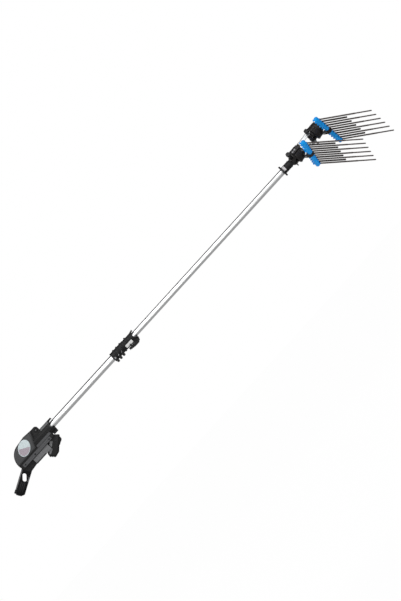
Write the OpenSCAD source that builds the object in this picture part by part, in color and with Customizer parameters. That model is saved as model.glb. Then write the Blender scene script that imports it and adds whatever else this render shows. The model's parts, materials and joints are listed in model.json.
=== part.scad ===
// Electric olive harvester: handle, telescopic pole and two swinging combs.
// +X runs along the pole towards the combs, +Z is the top of the handle.

/* [Pole] */
// Outer diameter of the lower tube
lower_tube_d = 32; // [30:0.5:36]
// Outer diameter of the upper tube
upper_tube_d = 28; // [26:0.5:28.5]
// Wall of both tubes
tube_wall = 1.5; // [1:0.1:1.5]
// Length of the lower tube
lower_tube_l = 580; // [520:5:700]
// Length of the upper tube
upper_tube_l = 1190; // [900:5:1400]
// Length of upper tube that stays inside the lower tube at full reach
tube_overlap = 90; // [60:5:140]

/* [Handle] */
// Length of the lower tube that sits inside the handle
tube_seat_l = 120; // [80:5:140]
// Outer radius of the sleeve round the tube
sleeve_r = 29; // [26:0.5:32]
// Radius of the round rear of the D-shaped housing
housing_r = 70; // [62:1:74]
// Half thickness of the D-shaped housing without its covers
housing_half_w = 26; // [22:1:30]
// Thickness of the grey side covers
cover_t = 7; // [4:0.5:10]
// Length of the pistol grip
grip_l = 98; // [88:1:110]
// Depth of the pistol grip from front to back
grip_depth = 50; // [44:1:58]
// Half thickness of the pistol grip
grip_half_w = 18; // [15:0.5:22]
// Rake of the pistol grip below the pole
grip_rake = 40; // [35:1:48]
// Length of the tail grip
tail_l = 114; // [95:1:130]
// Width of the tail grip
tail_w = 47; // [42:1:54]
// Half thickness of the tail grip
tail_half_t = 17; // [14:0.5:20]
// Slope of the tail grip below the pole
tail_slope = 25.6; // [20:0.2:32]

/* [Lock clamp] */
// Overall length of the telescopic lock clamp
lock_l = 149; // [130:1:165]
// Outer radius of the clamp sleeve
lock_r = 22.5; // [20.5:0.5:25]
// Length of the cam lever behind its pin
lever_l = 58; // [45:1:62]

/* [Comb heads] */
// Roll of the two heads about the pole, as set in the lock clamp
head_roll = 33; // [0:1:60]
// Rest tilt of the first head above the pole
tilt_1_rest = 5.5; // [0:0.5:15]
// Outer radius of the head drum
drum_r = 35; // [34:0.5:38]
// Length of the head drum
drum_l = 51; // [50:0.5:58]
// Distance between the two tilt bolts along the link plates
link_l = 133; // [125:1:160]
// Angle of the rods below the drum axis
rod_angle = 52.5; // [50:0.5:55]

/* [Combs] */
// Distance between neighbouring rods
rod_pitch = 22; // [19:0.5:25]
// Rods on each side of the middle rod
rods_per_side = 5; // [3:2:5]
// Diameter of a rod
rod_d = 5; // [4:0.5:6]
// Reach of a long rod from the bar axis
long_reach = 276; // [220:1:320]
// Reach of a short rod from the bar axis
short_reach = 142; // [110:1:180]
// Diameter of the comb bar
bar_d = 22; // [20:0.5:23]
// Swing of the combs at rest, one each way
swing_rest = 6; // [0:0.5:8]

/* [Hidden] */
$fn = 48;
overrun = 1;
run_gap = 0.05;
face_gap = 0.35;
shell_gap = 0.2;

// Pole
lower_tube_r = lower_tube_d / 2;
upper_tube_r = upper_tube_d / 2;
lower_bore_r = lower_tube_r - tube_wall;
upper_bore_r = upper_tube_r - tube_wall;
mouth_x = -20;
lower_rear_x = mouth_x - tube_seat_l;
lower_front_x = lower_rear_x + lower_tube_l;
upper_rear_x = lower_front_x - tube_overlap;
upper_front_x = upper_rear_x + upper_tube_l;
bush_flange_t = 10;
bush_spigot_l = 22;
bush_bore_r = 6;

// Handle housing
housing_back = 185;
housing_x = mouth_x - housing_back;
housing_z = -17;
housing_floor_z = -19;
housing_nose_back = 101;
housing_nose_x = mouth_x - housing_nose_back;
housing_nose_z = 54;
housing_crown_back = 145;
housing_crown_x = mouth_x - housing_crown_back;
housing_lean = 7;
housing_foot_back = 138;
housing_foot_x = mouth_x - housing_foot_back;
housing_step = 6;
cover_edge = 5;
cover_inset = 3;
scoop_r = 19;
scoop_rise = 2;
scoop_depth = 26;
lip_back = 15;
lip_drop = 10;
sleeve_rear_back = 140;
sleeve_rear_x = mouth_x - sleeve_rear_back;
rib_t = 2.6;
rib_proud = 1.4;
rib_front_back = 34;
rib_front_x = mouth_x - rib_front_back;
rib_z_shares = [-0.3, 0.12, 0.5];
beam_front_back = 46;
beam_front_x = mouth_x - beam_front_back;
beam_rear_back = 245;
beam_rear_x = mouth_x - beam_rear_back;
beam_top_z = -16;
beam_floor_z = -43;
beam_half_w = 27;
beam_edge = 4;
belly_front_back = 92;
belly_front_x = mouth_x - belly_front_back;
belly_rear_back = 192;
belly_rear_x = mouth_x - belly_rear_back;
belly_floor_z = -68;
belly_half_w = 22.5;
panel_t = 2.2;
rail_t = 2;
rail_rear_back = 240;
rail_rear_x = mouth_x - rail_rear_back;
rail_front_back = 62;
rail_front_x = mouth_x - rail_front_back;
rail_top_z = -25;
band_top_z = -11.5;
band_floor_z = -23;
band_rear_back = 134;
band_rear_x = mouth_x - band_rear_back;
band_front_back = 48;
band_front_x = mouth_x - band_front_back;
rail_web_t = 0.8;
panel_inset = 3;
lug_front_back = 71;
lug_front_x = mouth_x - lug_front_back;
lug_foot_back = 108;
lug_foot_x = mouth_x - lug_foot_back;
lug_top_z = 54;
lug_foot_z = 18;
lug_half_w = 19;
lug_edge = 4;
block_front_back = 16;
block_front_x = mouth_x - block_front_back;
block_l = 24;
block_half_w = 13;
block_floor_z = -38;
block_top_z = -18;
pinch_z = -32.5;
pinch_bolt_r = 2.5;
pinch_head_r = 4.5;
pinch_head_t = 4;
shell_wall = 4;
board_front_back = 158;
board_front_x = mouth_x - board_front_back;
board_rear_back = 226;
board_rear_x = mouth_x - board_rear_back;
board_top_z = 30;
cavity_half_w = housing_half_w - shell_wall;
board_t = 1.6;
board_gap = 4;
board_post_r = 3;
chip_t = 6;
screw_r = 2.2;
screw_head_r = 4;
screw_head_t = 2.5;
screw_l = 20;

// Pistol grip, trigger and button
grip_back = 27;
grip_x = mouth_x - grip_back;
grip_z = -56;
grip_edge = 7;
grip_foot_shares = [[1, -0.22], [1.02, -0.8], [0.9, -1], [0.3, -1]];
grip_front_shares = [[0, -0.62], [-0.02, -0.06], [0.06, 0], [0.78, 0]];
bump_r = 5;
bump_shares = [-0.34, -0.54, -0.74];
bump_sink = 1.5;
pad_t = 1.2;
pad_shares = [[0.3, -0.6], [0.58, -0.66], [0.7, -0.58], [0.9, -0.7], [0.9, -0.84], [0.52, -0.9],
    [0.3, -0.86]];
trigger_half_w = 6;
trigger_pivot_x = 12;
trigger_pivot_z = -9;
trigger_hub_r = 5;
trigger_l = 38;
trigger_proud = 9;
trigger_pull = 12;
trigger_side_gap = 0.4;
trigger_pin_r = 2;
trigger_pin_half_l = 14;
slot_depth = 25;
switch_l = 15;
switch_depth = 11;
switch_half_w = 5;
button_back = 83;
button_x = mouth_x - button_back;
button_z = 38;
button_r = 6.5;
button_travel = 2.5;
button_proud = 4.5;
button_depth = 10;
bezel_r = 9.5;
bezel_t = 2.2;

// Tail grip
tail_back = 246;
tail_x = mouth_x - tail_back;
tail_z = -54;
tail_edge = 6;
tail_root = 26;
web_half_w = 15.2;
tail_foot_back = 229;
tail_foot_x = mouth_x - tail_foot_back;
tail_foot_z = -73;
tail_end_r = 15;
tail_hole_w = 19;
tail_hole_l = 38;
tail_hole_x = 33;
tail_hole_turn = -18;
cap_t = 4;
cap_inset = 4;
inlet_r = 9;
inlet_bore_r = 5.5;
inlet_depth = 14;
inlet_body_l = 22;
inlet_proud = 5;
inlet_offset = 6;

// Lock clamp
lock_rear_back = 71;
lock_rear_x = lower_front_x - lock_rear_back;
lock_front_x = lock_rear_x + lock_l;
collar_step = 1.5;
collar_r = lock_r - collar_step;
rib_bulge_r = 5;
rib_sink = 1.8;
rib_spots = [24, 44, 66, 98];
ear_spots = [9, 27, 46];
ear_w = 12;
ear_half_w = 20;
ear_split = 3;
ear_floor = 34;
ear_screw_drop = 8;
ear_drop = 27;
lock_screw_r = 2.5;
lock_screw_head_r = 4.6;
lock_screw_head_t = 2.6;
lock_scoop_r = 16.5;
lock_scoop_x = 0.5;
lock_scoop_drop = -1.5;
window_l = 34;
window_h = 12;
window_back = 36;
window_drop = 10;
cheek_half_w = 12;
cheek_t = 4;
cheek_r = 7;
lever_pin_back = 10;
lever_pin_drop = 28;
lever_pin_r = 2.5;
lever_half_w = 7.5;
lever_hub_r = 6;
lever_t = 8;
lever_tip_drop = 12;
notch_r = 3.5;
lever_clear = 0.6;
flare_l = 20;
flare_proud = 4.5;

// Neck
flange_back = 37;
flange_x = upper_front_x - flange_back;
flange_r = 27.5;
flange_t = 7;
neck_r = 17.5;
neck_l = 49;
neck_rib_t = 3;
tilt_1_ahead = 71;
tilt_1_x = flange_x + tilt_1_ahead;
tongue_half_w = 10;
eye_r = 13;
neck_screw_r = 2;
neck_screw_head_r = 3.6;
neck_screw_head_t = 2;

// Tilt bolt and knob
bolt_r = 4;
ear_t = 11.5;
fork_half_w = tongue_half_w + face_gap + ear_t;
fork_r = 15;
knob_hub_r = 7.5;
knob_r = 11;
flute_r = 3.2;
flute_bite = 1.6;
flutes = 8;
knob_end = 66;
knob_head_l = 14;
wing_l = 15;
wing_r = 6.5;
wing_half_t = 3;
wing_span = 17;

// Head drum
drum_x = 14;
rim_t = 6;
rim_proud = 1.6;
rim_slope = 4;
parting_l = 30;
drum_front_x = drum_x + drum_l;
parting_x = drum_x + parting_l;
nose_shares = [[0.0, 1.02], [0.16, 1.02], [0.2, 0.99], [0.55, 0.96], [0.84, 0.82], [1, 0.56]];
fin_t = 2.4;
fin_proud = 1.4;
fin_turns = [-60, -20, 20, 60];
boss_r = 7;
boss_spots = [9, 22.6];
drum_screw_r = 2;
drum_screw_head_r = 3.6;
drum_screw_head_t = 2.4;
drum_screw_turns = [50, 130, 230, 310];
drum_screw_share = 0.86;
drum_screw_l = 14;

// Comb pivot and drive, in the comb's own frame
pivot_x = 57;
pivot_drop = 34;
pivot_reach = 20;
nose_r = 13;
nose_half_h = 9;
pocket_back = 13;
pocket_half_w = 19.5;
pocket_half_h = 17;
pocket_reach = 60;
arm_t = 6;
arm_r = 12;
shaft_r = 4;
bearing_r = 8;
bearing_w = 4.4;
rocker_hub_r = 7.5;
rocker_half_t = 3.5;
rocker_half_w = 5.5;
rocker_clear = 0.9;
fork_gap = 0.6;
prong_t = 4;
crank_reach = 37.5;
crank_throw = 6.5;
crank_pin_r = 4;
crank_r = 11;
crank_t = 3;
crank_gap = 0.7;
crank_ratio = 7.62;
motor_r = 13;
motor_l = 15.5;
motor_shaft_r = 2.5;
chamber_half_w = 16.5;
chamber_wall = 4;
slot_half_w = 9;

// Link plates between the heads
plate_in = 38;
plate_t = 4;
plate_half_w = 9;
plate_screw_r = 2.5;
plate_screw_head_r = 4.6;
plate_screw_head_t = 3;
spacer_r = 8;

// Comb bar
hub_half_w = 12.4;
hub_r = 12.4;
bar_r = bar_d / 2;
rod_r = rod_d / 2;
bar_overhang = 10;
bar_end = rods_per_side * rod_pitch + bar_overhang;
bar_cap_l = 5;
socket_l = 15;
socket_r = 5;
socket_root_r = 6.5;
heel_l = 19;
heel_r = 4.5;
rod_seat = 2;

// Cylinder along X from x0 to x1
module rod_x(x0, x1, r) {
    translate([x0, 0, 0])
        rotate([0, 90, 0])
            cylinder(h = x1 - x0, r = r);
}

// Cylinder along Y from y0 to y1 at x, z
module rod_y(x, z, y0, y1, r) {
    translate([x, y1, z])
        rotate([90, 0, 0])
            cylinder(h = y1 - y0, r = r);
}

// Cylinder along Z from z0 to z1 at x, y
module rod_z(x, y, z0, z1, r) {
    translate([x, y, z0])
        cylinder(h = z1 - z0, r = r);
}

// Box between two opposite corners
module block(low, high) {
    translate(low)
        cube(high - low);
}

// Plate of an X-Z outline, centred on Y
module plate(points, half_w) {
    rotate([90, 0, 0])
        linear_extrude(2 * half_w, center = true)
            polygon(points);
}

// Plate whose outline is drawn in by an inset
module inset_plate(points, half_w, inset) {
    rotate([90, 0, 0])
        linear_extrude(2 * half_w, center = true)
            offset(delta = -inset)
                polygon(points);
}

// Convex plate with its side edges cut back
module soft_plate(points, half_w, edge) {
    hull() {
        plate(points, half_w - edge);
        inset_plate(points, half_w, edge);
    }
}

// Round bar along X turned from points of distance and radius
module turned(points) {
    rotate([90, 0, 90])
        rotate_extrude()
            rotate([0, 0, 90])
                mirror([0, 1, 0])
                    polygon(points);
}

// Keeps one side of the handle, -1 for the left half
module half_of(side) {
    intersection() {
        children();
        translate([-half_space, side > 0 ? 0 : -half_space, -half_space])
            cube([2 * half_space, half_space, 2 * half_space]);
    }
}
half_space = lower_tube_l + upper_tube_l;

// Outline of the D-shaped housing, drawn in by an inset: its top leans up from the rear arc to the crown
function housing_outline(inset = 0) = concat(
    [[housing_foot_x - inset, housing_floor_z + inset],
        [housing_nose_x - inset * 2, housing_nose_z - inset],
        [housing_crown_x, housing_crown_z(housing_r - inset)]],
    housing_arc(housing_r - inset, housing_floor_z + inset));
function housing_crown_z(radius) =
    housing_z + radius / cos(housing_lean) + (housing_crown_x - housing_x) * tan(housing_lean);
function housing_arc(radius, floor_z) =
    let (start = 90 + housing_lean, turn = 180 - start + asin((housing_z - floor_z) / radius),
        steps = round(turn / housing_step))
        [for (i = [0 : steps]) [housing_x + radius * cos(start + turn * i / steps),
            housing_z + radius * sin(start + turn * i / steps)]];

// Rear of the housing carried on round to the tail
heel_turn = 24;
function heel_outline() = concat(
    [for (a = [180 : housing_step : 180 + heel_turn])
        [housing_x + housing_r * cos(a), housing_z + housing_r * sin(a)]],
    [[housing_x, housing_floor_z + beam_edge]]);

// Frames of the raked pistol grip and of the tail grip
module in_grip() {
    translate([grip_x, 0, grip_z])
        rotate([0, 180 - grip_rake, 0])
            children();
}
module in_tail() {
    translate([tail_x, 0, tail_z])
        rotate([0, 180 - tail_slope, 0])
            children();
}
function grip_points(shares) = [for (s = shares) [s[0] * grip_l, s[1] * grip_depth]];
function grip_outline() = grip_points(concat(grip_front_shares, grip_foot_shares));

// Frames of the boom, the heads and the combs
module in_boom() {
    rotate([-head_roll, 0, 0])
        children();
}
module in_head(index) {
    in_boom()
        translate([tilt_1_x, 0, 0])
            rotate([0, -tilt_1_rest, 0])
                translate([index == 1 ? 0 : link_l, 0, 0])
                    children();
}
module in_pivot() {
    translate([pivot_x, 0, -pivot_drop])
        rotate([0, rod_angle, 0])
            children();
}
module in_comb(index) {
    in_head(index)
        in_pivot()
            rotate([0, 0, swing_of(index)])
                children();
}
function swing_of(index) = index == 1 ? swing_rest : -swing_rest;

// Both handle halves before they are parted
module handle_body() {
    difference() {
        union() {
            plate(housing_outline(), housing_half_w);
            plate(heel_outline(), housing_half_w);
            rod_x(sleeve_rear_x, mouth_x, sleeve_r);
            sleeve_ribs();
            soft_plate([[beam_rear_x, beam_floor_z], [beam_front_x, beam_floor_z],
                [beam_front_x + beam_edge, beam_top_z], [beam_rear_x, beam_top_z]], beam_half_w, beam_edge);
            block([belly_rear_x, -belly_half_w, belly_floor_z],
                [belly_front_x, belly_half_w, beam_floor_z + beam_edge]);
            soft_plate([[housing_foot_x - lug_edge, housing_floor_z], [lug_foot_x, housing_floor_z],
                [lug_front_x, lug_foot_z],
                [lug_front_x, lug_top_z - lug_edge * 2], [lug_front_x - lug_edge * 2, lug_top_z],
                [housing_nose_x - lug_edge, housing_nose_z]], lug_half_w, lug_edge);
            block([block_front_x - block_l, -block_half_w, block_floor_z],
                [block_front_x, block_half_w, block_top_z]);
            soft_plate([[belly_rear_x + tail_edge, beam_floor_z + beam_edge],
                [belly_rear_x + tail_edge, belly_floor_z],
                [tail_foot_x, tail_foot_z], [tail_foot_x - tail_edge * 2, beam_floor_z + beam_edge]],
                    web_half_w, beam_edge);
            pistol_grip();
            tail_grip();
        }
        handle_hollows();
    }
}

// Ribs along the sleeve
module sleeve_ribs() {
    for (share = rib_z_shares) {
        rib_half_w = sqrt(1 - share * share) * sleeve_r + rib_proud;
        block([sleeve_rear_x, -rib_half_w, share * sleeve_r - rib_t / 2],
            [rib_front_x, rib_half_w, share * sleeve_r + rib_t / 2]);
    }
}

module pistol_grip() {
    in_grip()
        difference() {
            union() {
                soft_plate(grip_outline(), grip_half_w, grip_edge);
                for (share = bump_shares)
                    rod_y(grip_l - bump_sink, grip_depth * share, -grip_half_w + grip_edge,
                        grip_half_w - grip_edge, bump_r);
            }
            block([trigger_pivot_x - trigger_hub_r - trigger_side_gap * 2,
                -trigger_half_w - trigger_side_gap, -slot_depth],
                [trigger_pivot_x + trigger_l, trigger_half_w + trigger_side_gap, grip_edge]);
            rod_y(trigger_pivot_x, trigger_pivot_z, -trigger_pin_half_l, trigger_pin_half_l, trigger_pin_r);
            switch_body(shell_gap);
        }
}

module tail_grip() {
    in_tail()
        difference() {
            union() {
                soft_plate([[-tail_root, -tail_w / 2], [tail_l - tail_end_r, -tail_w / 2],
                    [tail_l, -tail_w / 2 + tail_end_r], [tail_l, tail_w / 2 - tail_end_r / 2],
                    [tail_l - tail_end_r / 2, tail_w / 2], [-tail_root, tail_w / 2]], tail_half_t,
                        tail_edge);
            }
            tail_hole();
            translate([0, 0, -inlet_offset])
                rod_x(tail_l - inlet_body_l, tail_l + overrun, inlet_r);
        }
}

// Long see-through hole of the tail grip
module tail_hole() {
    translate([tail_hole_x, 0, 0])
        rotate([0, tail_hole_turn, 0]) {
            for (side = [-1, 1])
                rod_y(side * (tail_hole_l - tail_hole_w) / 2, 0, -tail_half_t - overrun,
                    tail_half_t + overrun,
                    tail_hole_w / 2);
            block([-(tail_hole_l - tail_hole_w) / 2, -tail_half_t - overrun, -tail_hole_w / 2],
                [(tail_hole_l - tail_hole_w) / 2, tail_half_t + overrun, tail_hole_w / 2]);
        }
}

// Tube bore, scooped mouth and the chamber for the electronics
module handle_hollows() {
    rod_x(lower_rear_x, mouth_x + overrun, lower_tube_r);
    rod_y(mouth_x - scoop_depth + scoop_r, scoop_rise, -sleeve_r - overrun, sleeve_r + overrun, scoop_r);
    block([mouth_x - lip_back, -sleeve_r - overrun, -sleeve_r - overrun],
        [mouth_x + overrun, sleeve_r + overrun, -lip_drop]);
    difference() {
        union() {
            plate(housing_outline(shell_wall), cavity_half_w);
            block([beam_rear_x + shell_wall * 2, -cavity_half_w, beam_floor_z + shell_wall],
                [belly_front_x, cavity_half_w, housing_floor_z + shell_wall * 2]);
            block([belly_rear_x + shell_wall, -belly_half_w + shell_wall, belly_floor_z + shell_wall],
                [belly_front_x - shell_wall, belly_half_w - shell_wall, beam_floor_z + shell_wall * 2]);
        }
        rod_x(sleeve_rear_x - shell_wall, mouth_x, sleeve_r);
    }
    in_grip()
        intersection() {
            inset_plate(grip_outline(), grip_half_w - shell_wall, grip_edge);
            block([trigger_pivot_x + trigger_l + shell_wall, -grip_half_w, -grip_depth],
                [grip_l, grip_half_w, 0]);
        }
    in_tail()
        block([tail_hole_x + tail_hole_l / 2 + shell_wall, -tail_half_t + shell_wall,
            -tail_w / 2 + tail_edge],
            [tail_l - inlet_body_l - shell_wall, tail_half_t - shell_wall, tail_w / 2 - tail_edge]);
    rod_y(button_x, button_z, -lug_half_w - overrun, -lug_half_w + button_depth + button_travel + shell_gap,
        button_r + shell_gap);
    rod_y(block_front_x - block_l / 2, pinch_z, -block_half_w - overrun, block_half_w + overrun,
        pinch_bolt_r);
}

module handle_shell_left() {
    color("#242426")
        half_of(-1)
            handle_body();
}

module handle_shell_right() {
    color("#242426")
        half_of(1)
            handle_body();
}

// Grey cover of the D-shaped housing
module side_cover(side) {
    color("#5a5c60")
        half_of(side)
            difference() {
                hull() {
                    plate(housing_outline(cover_inset), housing_half_w + cover_t - cover_edge);
                    plate(housing_outline(cover_inset + cover_edge), housing_half_w + cover_t);
                }
                plate(housing_outline(), housing_half_w);
                rod_x(sleeve_rear_x - overrun, mouth_x, sleeve_r);
                sleeve_ribs();
            }
}
module side_cover_left() { side_cover(-1); }
module side_cover_right() { side_cover(1); }

// Light channel-shaped panel under the beam
module bottom_panel() {
    color("#8f9194")
        difference() {
            block([belly_rear_x + panel_inset, -belly_half_w - panel_t, belly_floor_z - panel_t],
                [belly_front_x - panel_inset, belly_half_w + panel_t, beam_floor_z]);
            block([belly_rear_x, -belly_half_w, belly_floor_z],
                [belly_front_x, belly_half_w, beam_floor_z + overrun]);
            in_grip()
                soft_plate(grip_outline(), grip_half_w, grip_edge);
        }
}

// Light inlays on both sides of the pistol grip
module grip_pads() {
    color("#85878a")
        difference() {
            in_grip()
                difference() {
                    plate(grip_points(pad_shares), grip_half_w + pad_t);
                    plate(grip_points([[0, -1], [0, 0], [1, 0], [1, -1]]), grip_half_w);
                }
            block([belly_rear_x, -belly_half_w - panel_t, belly_floor_z - panel_t],
                [belly_front_x, belly_half_w + panel_t, 0]);
            block([beam_rear_x, -beam_half_w, beam_floor_z - shell_gap], [mouth_x, beam_half_w, 0]);
        }
}

module trigger_pin() {
    color("silver")
        in_grip()
            rod_y(trigger_pivot_x, trigger_pivot_z, -trigger_pin_half_l, trigger_pin_half_l, trigger_pin_r);
}

// Seat or body of the trigger switch
module switch_body(extra = 0) {
    block([trigger_pivot_x + trigger_l / 2, -switch_half_w - extra, -slot_depth - switch_depth - extra],
        [trigger_pivot_x + trigger_l / 2 + switch_l, switch_half_w + extra, -slot_depth]);
}
module trigger_switch() {
    color("#7a2a2a")
        in_grip()
            switch_body();
}

// Controller board on posts in the housing
module controller_board() {
    color("#1f5a3c") {
        block([board_rear_x, board_gap, housing_floor_z + board_gap * 2],
            [board_front_x, board_gap + board_t, board_top_z]);
        for (x = [board_rear_x + board_gap, board_front_x - board_gap])
            for (z = [housing_floor_z + board_gap * 3, board_top_z - board_gap])
                rod_y(x, z, board_gap + board_t, cavity_half_w, board_post_r);
        block([board_rear_x + board_gap * 3, board_gap - chip_t, housing_floor_z + board_gap * 4],
            [board_front_x - board_gap * 3, board_gap, board_top_z - board_gap * 3]);
    }
}

// Round socket in the end of the tail grip
module power_inlet() {
    color("#151517")
        in_tail()
            translate([0, 0, -inlet_offset])
                difference() {
                    rod_x(tail_l - inlet_body_l, tail_l + inlet_proud, inlet_r);
                    rod_x(tail_l + inlet_proud - inlet_depth, tail_l + inlet_proud + overrun, inlet_bore_r);
                }
}

module tail_cap() {
    color("#303134")
        in_tail()
            difference() {
                block([tail_l, -tail_half_t + tail_edge, -tail_w / 2 + tail_end_r],
                    [tail_l + cap_t, tail_half_t - tail_edge, tail_w / 2 - tail_end_r / 2 - cap_inset]);
                translate([0, 0, -inlet_offset])
                    rod_x(tail_l - overrun, tail_l + cap_t + overrun, inlet_r);
            }
}

module button_bezel() {
    color("#101011")
        difference() {
            rod_y(button_x, button_z, -lug_half_w - bezel_t, -lug_half_w, bezel_r);
            rod_y(button_x, button_z, -lug_half_w - bezel_t - overrun, -lug_half_w + overrun,
                button_r + shell_gap);
        }
}

module mode_button() {
    color("#3c3e42")
        difference() {
            rod_y(button_x, button_z, -lug_half_w - bezel_t - button_proud, -lug_half_w + button_depth,
                button_r);
            translate([button_x, -lug_half_w - bezel_t - button_proud - button_r * 2, button_z])
                sphere(r = button_r * 2 + button_travel / 2);
        }
}

module pinch_bolt() {
    color("silver") {
        rod_y(block_front_x - block_l / 2, pinch_z, -block_half_w, block_half_w, pinch_bolt_r);
        rod_y(block_front_x - block_l / 2, pinch_z, -block_half_w - pinch_head_t, -block_half_w,
            pinch_head_r);
        rod_y(block_front_x - block_l / 2, pinch_z, block_half_w, block_half_w + pinch_head_t,
            pinch_head_r);
    }
}

// Places of the screws that hold the shells together
screw_rise_shares = [0.62, 0.3, -0.12];
screw_spots = [
    [housing_x - housing_r * screw_rise_shares[0], beam_floor_z / 2 + rail_top_z / 2],
    [housing_x + housing_r * screw_rise_shares[1], beam_floor_z / 2 + rail_top_z / 2],
    [beam_front_x - beam_half_w, beam_floor_z / 2 + rail_top_z / 2]];
module shell_screws() {
    color("#6d6f73")
        shell_screw_heads();
}
module shell_screw_heads() {
    for (spot = screw_spots)
        rod_y(spot[0], spot[1], -beam_half_w - screw_head_t, -beam_half_w, screw_head_r);
}

// Grey rail and the band above it along one side of the beam
module side_rail(side) {
    color("#4a4b4f")
        half_of(side)
            difference() {
                union() {
                    block([rail_rear_x, -beam_half_w - rail_t, beam_floor_z + beam_edge / 2],
                        [rail_front_x, beam_half_w + rail_t, rail_top_z]);
                    block([band_rear_x, -sleeve_r - rail_t / 2, band_floor_z],
                        [band_front_x, sleeve_r + rail_t / 2, band_top_z]);
                    block([band_rear_x, -beam_half_w - rail_web_t, rail_top_z - rail_t],
                        [rail_front_x, beam_half_w + rail_web_t, band_top_z - rail_t]);
                }
                block([rail_rear_x - overrun, -beam_half_w, beam_floor_z - overrun],
                    [band_front_x + overrun, beam_half_w, 0]);
                rod_x(sleeve_rear_x - overrun, mouth_x, sleeve_r);
                sleeve_ribs();
                shell_screw_heads();
            }
}
module side_rail_left() { side_rail(-1); }
module side_rail_right() { side_rail(1); }

// Trigger on its pin in the front of the pistol grip
module trigger() {
    color("#1b1b1d")
        in_grip()
            difference() {
                union() {
                    plate(trigger_outline(), trigger_half_w);
                    rod_y(trigger_pivot_x, trigger_pivot_z, -trigger_half_w, trigger_half_w, trigger_hub_r);
                }
                rod_y(trigger_pivot_x, trigger_pivot_z, -trigger_half_w - overrun, trigger_half_w + overrun,
                    trigger_pin_r + run_gap);
            }
}
trigger_shares = [[-0.1, 0.1], [0.08, 0.9], [0.3, 1], [0.58, 0.55], [0.86, 0.35], [0.92, -0.2],
    [0.8, -0.95], [0.1, -1.5]];
function trigger_outline() = [for (s = trigger_shares) [trigger_pivot_x + s[0] * trigger_l,
    s[1] * trigger_proud]];

module lower_tube() {
    color("#c9cbce")
        difference() {
            rod_x(lower_rear_x, lower_front_x, lower_tube_r);
            rod_x(lower_rear_x - overrun, lower_front_x + overrun, lower_bore_r);
        }
}

module upper_tube() {
    color("#d2d4d7")
        difference() {
            rod_x(upper_rear_x, upper_front_x, upper_tube_r);
            rod_x(upper_rear_x - overrun, upper_front_x + overrun, upper_bore_r);
        }
}

// Plastic guide in the foot of the upper tube
module guide_bush() {
    color("#e4e2dc")
        difference() {
            union() {
                rod_x(upper_rear_x - face_gap - bush_flange_t, upper_rear_x - face_gap,
                    lower_bore_r - run_gap);
                rod_x(upper_rear_x - face_gap, upper_rear_x + bush_spigot_l, upper_bore_r - run_gap);
            }
            rod_x(upper_rear_x - bush_flange_t * 2, upper_rear_x + bush_spigot_l + overrun, bush_bore_r);
        }
}

// Moulded clamp that joins the two tubes
module lock_clamp() {
    color("#1d1d1f")
        difference() {
            union() {
                rod_x(lock_rear_x, lower_front_x + lock_r / 2, lock_r);
                rod_x(lower_front_x, lock_front_x, collar_r);
                translate([lock_front_x - flare_l, 0, 0])
                    rotate([0, 90, 0])
                        cylinder(h = flare_l, r1 = collar_r, r2 = collar_r + flare_proud);
                for (spot = rib_spots)
                    translate([lock_rear_x + spot, 0, 0])
                        rotate([0, 90, 0])
                            rotate_extrude()
                                translate([lock_r - rib_sink, 0])
                                    circle(r = rib_bulge_r);
                for (spot = ear_spots)
                    lock_ear(spot);
                lever_cheeks();
                block([lock_front_x - lever_pin_back - lever_l, -cheek_half_w, -lock_r],
                    [lock_front_x - cheek_t, cheek_half_w, 0]);
            }
            lock_hollows();
        }
}

module lock_ear(spot) {
    block([lock_rear_x + spot - ear_w / 2, -ear_half_w, -ear_drop],
        [lock_rear_x + spot + ear_w / 2, ear_half_w, 0]);
    rod_y(lock_rear_x + spot, -ear_drop, -ear_half_w, ear_half_w, ear_w / 2);
}

// Two cheeks that carry the lever pin
module lever_cheeks() {
    for (side = [-1, 1]) {
        inner = side > 0 ? cheek_half_w - cheek_t : -cheek_half_w;
        block([lock_front_x - lever_pin_back - cheek_r, inner, -lever_pin_drop],
            [lock_front_x - lever_pin_back + cheek_r, inner + cheek_t, 0]);
        rod_y(lock_front_x - lever_pin_back, -lever_pin_drop, inner, inner + cheek_t, cheek_r);
    }
}

// Stepped bore, split, window and scooped mouth of the clamp
module lock_hollows() {
    rod_x(lock_rear_x - overrun, lower_front_x, lower_tube_r);
    rod_x(lock_rear_x - overrun, lock_front_x + overrun, upper_tube_r + run_gap * 2);
    block([lock_rear_x - overrun, -ear_split / 2, -ear_floor - overrun], [lower_front_x, ear_split / 2, 0]);
    lock_screw_set();
    rod_y(lock_front_x + lock_scoop_x, -lock_scoop_drop, -lock_r * 2, lock_r * 2, lock_scoop_r);
    block([lock_front_x - window_back - window_l, -lock_r * 2, -window_drop - window_h / 2],
        [lock_front_x - window_back, 0, -window_drop + window_h / 2]);
    rod_y(lock_front_x - lever_pin_back, -lever_pin_drop, -cheek_half_w - overrun, cheek_half_w + overrun,
        lever_pin_r);
    rod_y(lock_front_x - lever_pin_back, -lever_pin_drop, -cheek_half_w + cheek_t, cheek_half_w - cheek_t,
        lever_hub_r + lever_clear);
    block([lock_front_x - lever_pin_back - lever_l - lever_clear, -cheek_half_w + cheek_t,
        -ear_floor - overrun],
        [lock_front_x - lever_pin_back, cheek_half_w - cheek_t,
            -lever_pin_drop + lever_hub_r + lever_clear]);
}

// Screws from both sides into the clamp's ears, short of the tube
module lock_screws() {
    color("#b9bbbe")
        lock_screw_set();
}
module lock_screw_set() {
    head_end = ear_half_w + lock_screw_head_t;
    for (spot = ear_spots) {
        rod_y(lock_rear_x + spot, -ear_screw_drop, -head_end, -ear_half_w, lock_screw_head_r);
        rod_y(lock_rear_x + spot, -ear_screw_drop, -ear_half_w, -lower_tube_r - shell_gap, lock_screw_r);
        rod_y(lock_rear_x + spot, -ear_screw_drop, ear_half_w, head_end, lock_screw_head_r);
        rod_y(lock_rear_x + spot, -ear_screw_drop, lower_tube_r + shell_gap, ear_half_w, lock_screw_r);
    }
}

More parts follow.
